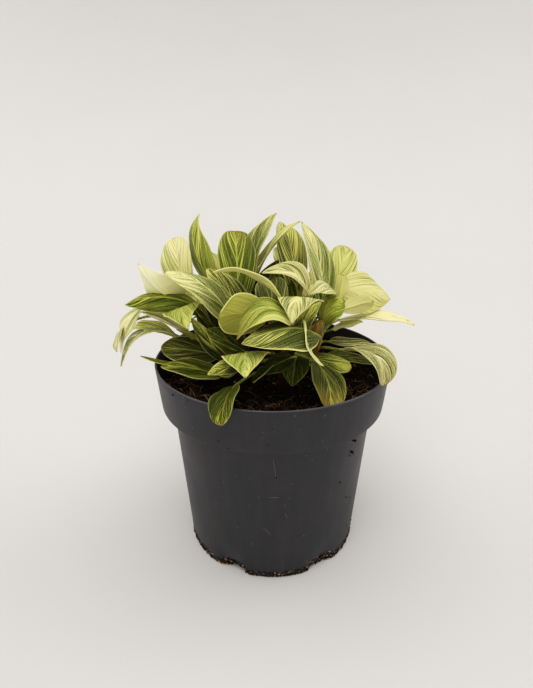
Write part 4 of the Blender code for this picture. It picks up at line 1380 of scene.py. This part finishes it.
def stalk_shape(row, start, number):
    """The stalk leaves the stem upwards and runs on under the blade as its midrib."""
    colours = row["colours"]
    base, bend, _, _ = midrib(row)
    heading = (bend - base).normalized()
    reach = (base - start).length
    lift = Vector((0, 0, 1)) + (base - start).normalized()
    points = (start, start + lift.normalized() * reach * STALK_EASE,
              base - heading * reach * STALK_EASE, base)
    route = [bezier(points, step / STALK_STEPS) for step in range(STALK_STEPS)]
    radii = [STALK_RADIUS + (STALK_TIP_RADIUS - STALK_RADIUS) * step / STALK_STEPS
             for step in range(STALK_STEPS)]
    for step in range(RIB_STEPS + 1):
        share = RIB_REACH * step / RIB_STEPS
        centre, _, normal = midrib_frame(row, share)
        taper = (step / RIB_STEPS) ** RIB_TAPER_POWER
        radius = STALK_TIP_RADIUS + (RIB_TIP_RADIUS - STALK_TIP_RADIUS) * taper
        sunk = radius * RIB_SINK + midrib_groove(half_width(row, share))
        route.append(centre - normal * sunk * min(1.0, step / 2))
        radii.append(radius)
    shape = tube(route, radii, STALK_SIDES)
    place, tint, _, rosy, _ = add_layers(shape)
    for point in shape.verts:
        nearest = min(range(len(route)), key=lambda k, p=point: (p.co - route[k]).length)
        point[place] = Vector((0, nearest / STALK_STEPS, number))
        point[tint] = blade_tint(colours, 0.0, 0.0)
        point[rosy] = colours["rosy"]
    return shape


def stem_shape(stem):
    """The main stem from inside the soil to its top, and the ends of its leafy length."""
    foot = Vector((*stem["foot"], SOIL_HEIGHT - STEM_DEPTH))
    collar = Vector((*stem["foot"], SOIL_HEIGHT + COLLAR_HEIGHT))
    top = Vector(stem["top"])
    middle_radius = (STEM_RADIUS + STEM_TOP_RADIUS) / 2
    shape = tube((foot, collar, collar.lerp(top, 0.5), top),
                 (STEM_RADIUS, STEM_RADIUS, middle_radius, STEM_TOP_RADIUS), STEM_SIDES)
    place, tint, _, _, _ = add_layers(shape)
    for point in shape.verts:
        rise = max(0.0, point.co.z - SOIL_HEIGHT) / (top.z - SOIL_HEIGHT)
        point[place] = Vector((0, STEM_ROSY_REACH * rise, 0))
        point[tint] = STEM_TINT
    return shape, collar, top


def make_leafy_stem(node, stem, materials, first_number):
    """A stem with the stalks and blades of its leaves, as one piece."""
    whole, collar, top = stem_shape(stem)
    surfaces = bmesh.new()
    count = len(stem["leaves"])
    for index, row in enumerate(stem["leaves"].values()):
        number = first_number + index
        share = LOWEST_LEAF_SHARE + index / (count - 1) * (HIGHEST_LEAF_SHARE - LOWEST_LEAF_SHARE)
        append_shape(surfaces, blade_surface(row, number))
        append_shape(whole, stalk_shape(row, collar.lerp(top, share), number))
    for face in whole.faces:
        face.material_index = 2
    blades = add_object(f"{node}_blades", surfaces)
    skin = blades.modifiers.new("Thickness", "SOLIDIFY")
    skin.thickness = BLADE_THICKNESS * MM
    skin.offset = 0.0
    skin.material_offset = 1
    skin.material_offset_rim = 1
    for material in materials[:2]:
        blades.data.materials.append(material)
    apply_modifiers(blades)
    bmesh.ops.scale(whole, vec=(MM, MM, MM), verts=whole.verts)
    whole.from_mesh(blades.data)
    bmesh.ops.scale(whole, vec=(1 / MM, 1 / MM, 1 / MM), verts=whole.verts)
    bpy.data.objects.remove(blades, do_unlink=True)
    piece = add_object(f"{node}_leaves", whole)
    finish_piece(piece, materials, 45.0, node)
    return first_number + count


# Studio

def make_backdrop():
    """A round floor that curves up into a pale wall, with a faint grain."""
    profile = [(0.0, 0.0), (BACKDROP_FLOOR_RADIUS * 0.5, 0.0)]
    for step in range(BACKDROP_CURVE_STEPS + 1):
        angle = math.radians(-90 + BACKDROP_CURVE_DEGREES * step / BACKDROP_CURVE_STEPS)
        profile.append((BACKDROP_FLOOR_RADIUS + BACKDROP_CURVE_RADIUS * math.cos(angle),
                        BACKDROP_CURVE_RADIUS * (1 + math.sin(angle))))
    shape = turned(profile, 96)
    bmesh.ops.reverse_faces(shape, faces=shape.faces)
    backdrop = add_object("backdrop", shape)
    material, tree, shader = new_material("pale_paper")
    tone = noise_value(tree, object_place(tree), PAPER_CLOUDS)
    colour = mix_colour(tree, tone, (0.71, 0.69, 0.665), (0.73, 0.71, 0.685))
    set_inputs(tree, shader, {"Base Color": colour, "Roughness": 0.9})
    backdrop.data.materials.append(material)
    smooth(backdrop, 60.0)


def make_light(name, towards, softness, strength):
    """A broad soft light that shines from a direction, softness degrees across."""
    light = bpy.data.lights.new(name, "SUN")
    light.angle = math.radians(softness)
    light.energy = strength
    item = bpy.data.objects.new(name, light)
    item.location = Vector(towards).normalized()
    item.rotation_euler = (-item.location).to_track_quat("-Z", "Y").to_euler()
    bpy.context.scene.collection.objects.link(item)


def make_camera():
    """The camera at the place, tilt and turn from which the photo was taken."""
    camera_data = bpy.data.cameras.new("camera")
    camera_data.sensor_width = 36.0
    camera_data.lens = CAMERA_LENS
    camera_data.clip_start = 0.01
    camera = bpy.data.objects.new("camera", camera_data)
    pitch, yaw = math.radians(CAMERA_PITCH), math.radians(CAMERA_YAW)
    gaze = Vector((-math.sin(yaw) * math.cos(pitch), math.cos(yaw) * math.cos(pitch),
                   -math.sin(pitch)))
    camera.location = Vector(CAMERA_PLACE) * MM
    camera.rotation_euler = gaze.to_track_quat("-Z", "Y").to_euler()
    bpy.context.scene.collection.objects.link(camera)
    bpy.context.scene.camera = camera


def make_studio():
    """The soft lights, the pale room, the tones of the picture, and the camera."""
    scene = bpy.context.scene
    scene.view_settings.view_transform = "Standard"
    scene.view_settings.use_curve_mapping = True
    tone_curve = scene.view_settings.curve_mapping
    for spot in PICTURE_CURVE:
        tone_curve.curves[3].points.new(*spot)
    tone_curve.update()
    world = bpy.data.worlds.new("soft_room")
    scene.world = world
    world.use_nodes = True
    sky = world.node_tree.nodes["Background"]
    set_inputs(world.node_tree, sky, dict(Color=ROOM_COLOUR, Strength=ROOM_STRENGTH))
    for name, values in LIGHTS.items():
        make_light(name, *values)
    make_camera()


make_pot(make_pot_material())
make_soil(make_peat_material("dark_peat"))
make_crumbs(make_peat_material("peat_grains"))
make_fibres(make_peat_material("coir_fibre"))
make_wall_peat(make_peat_material("clinging_grains"))
stripes = make_stripe_group()
leaf_materials = [make_blade_material(stripes), make_underside_material(stripes),
                  make_stalk_material()]
leaf_number = 0
for stem_name, stem_row in STEMS.items():
    leaf_number = make_leafy_stem(stem_name, stem_row, leaf_materials, leaf_number)
make_backdrop()
make_studio()
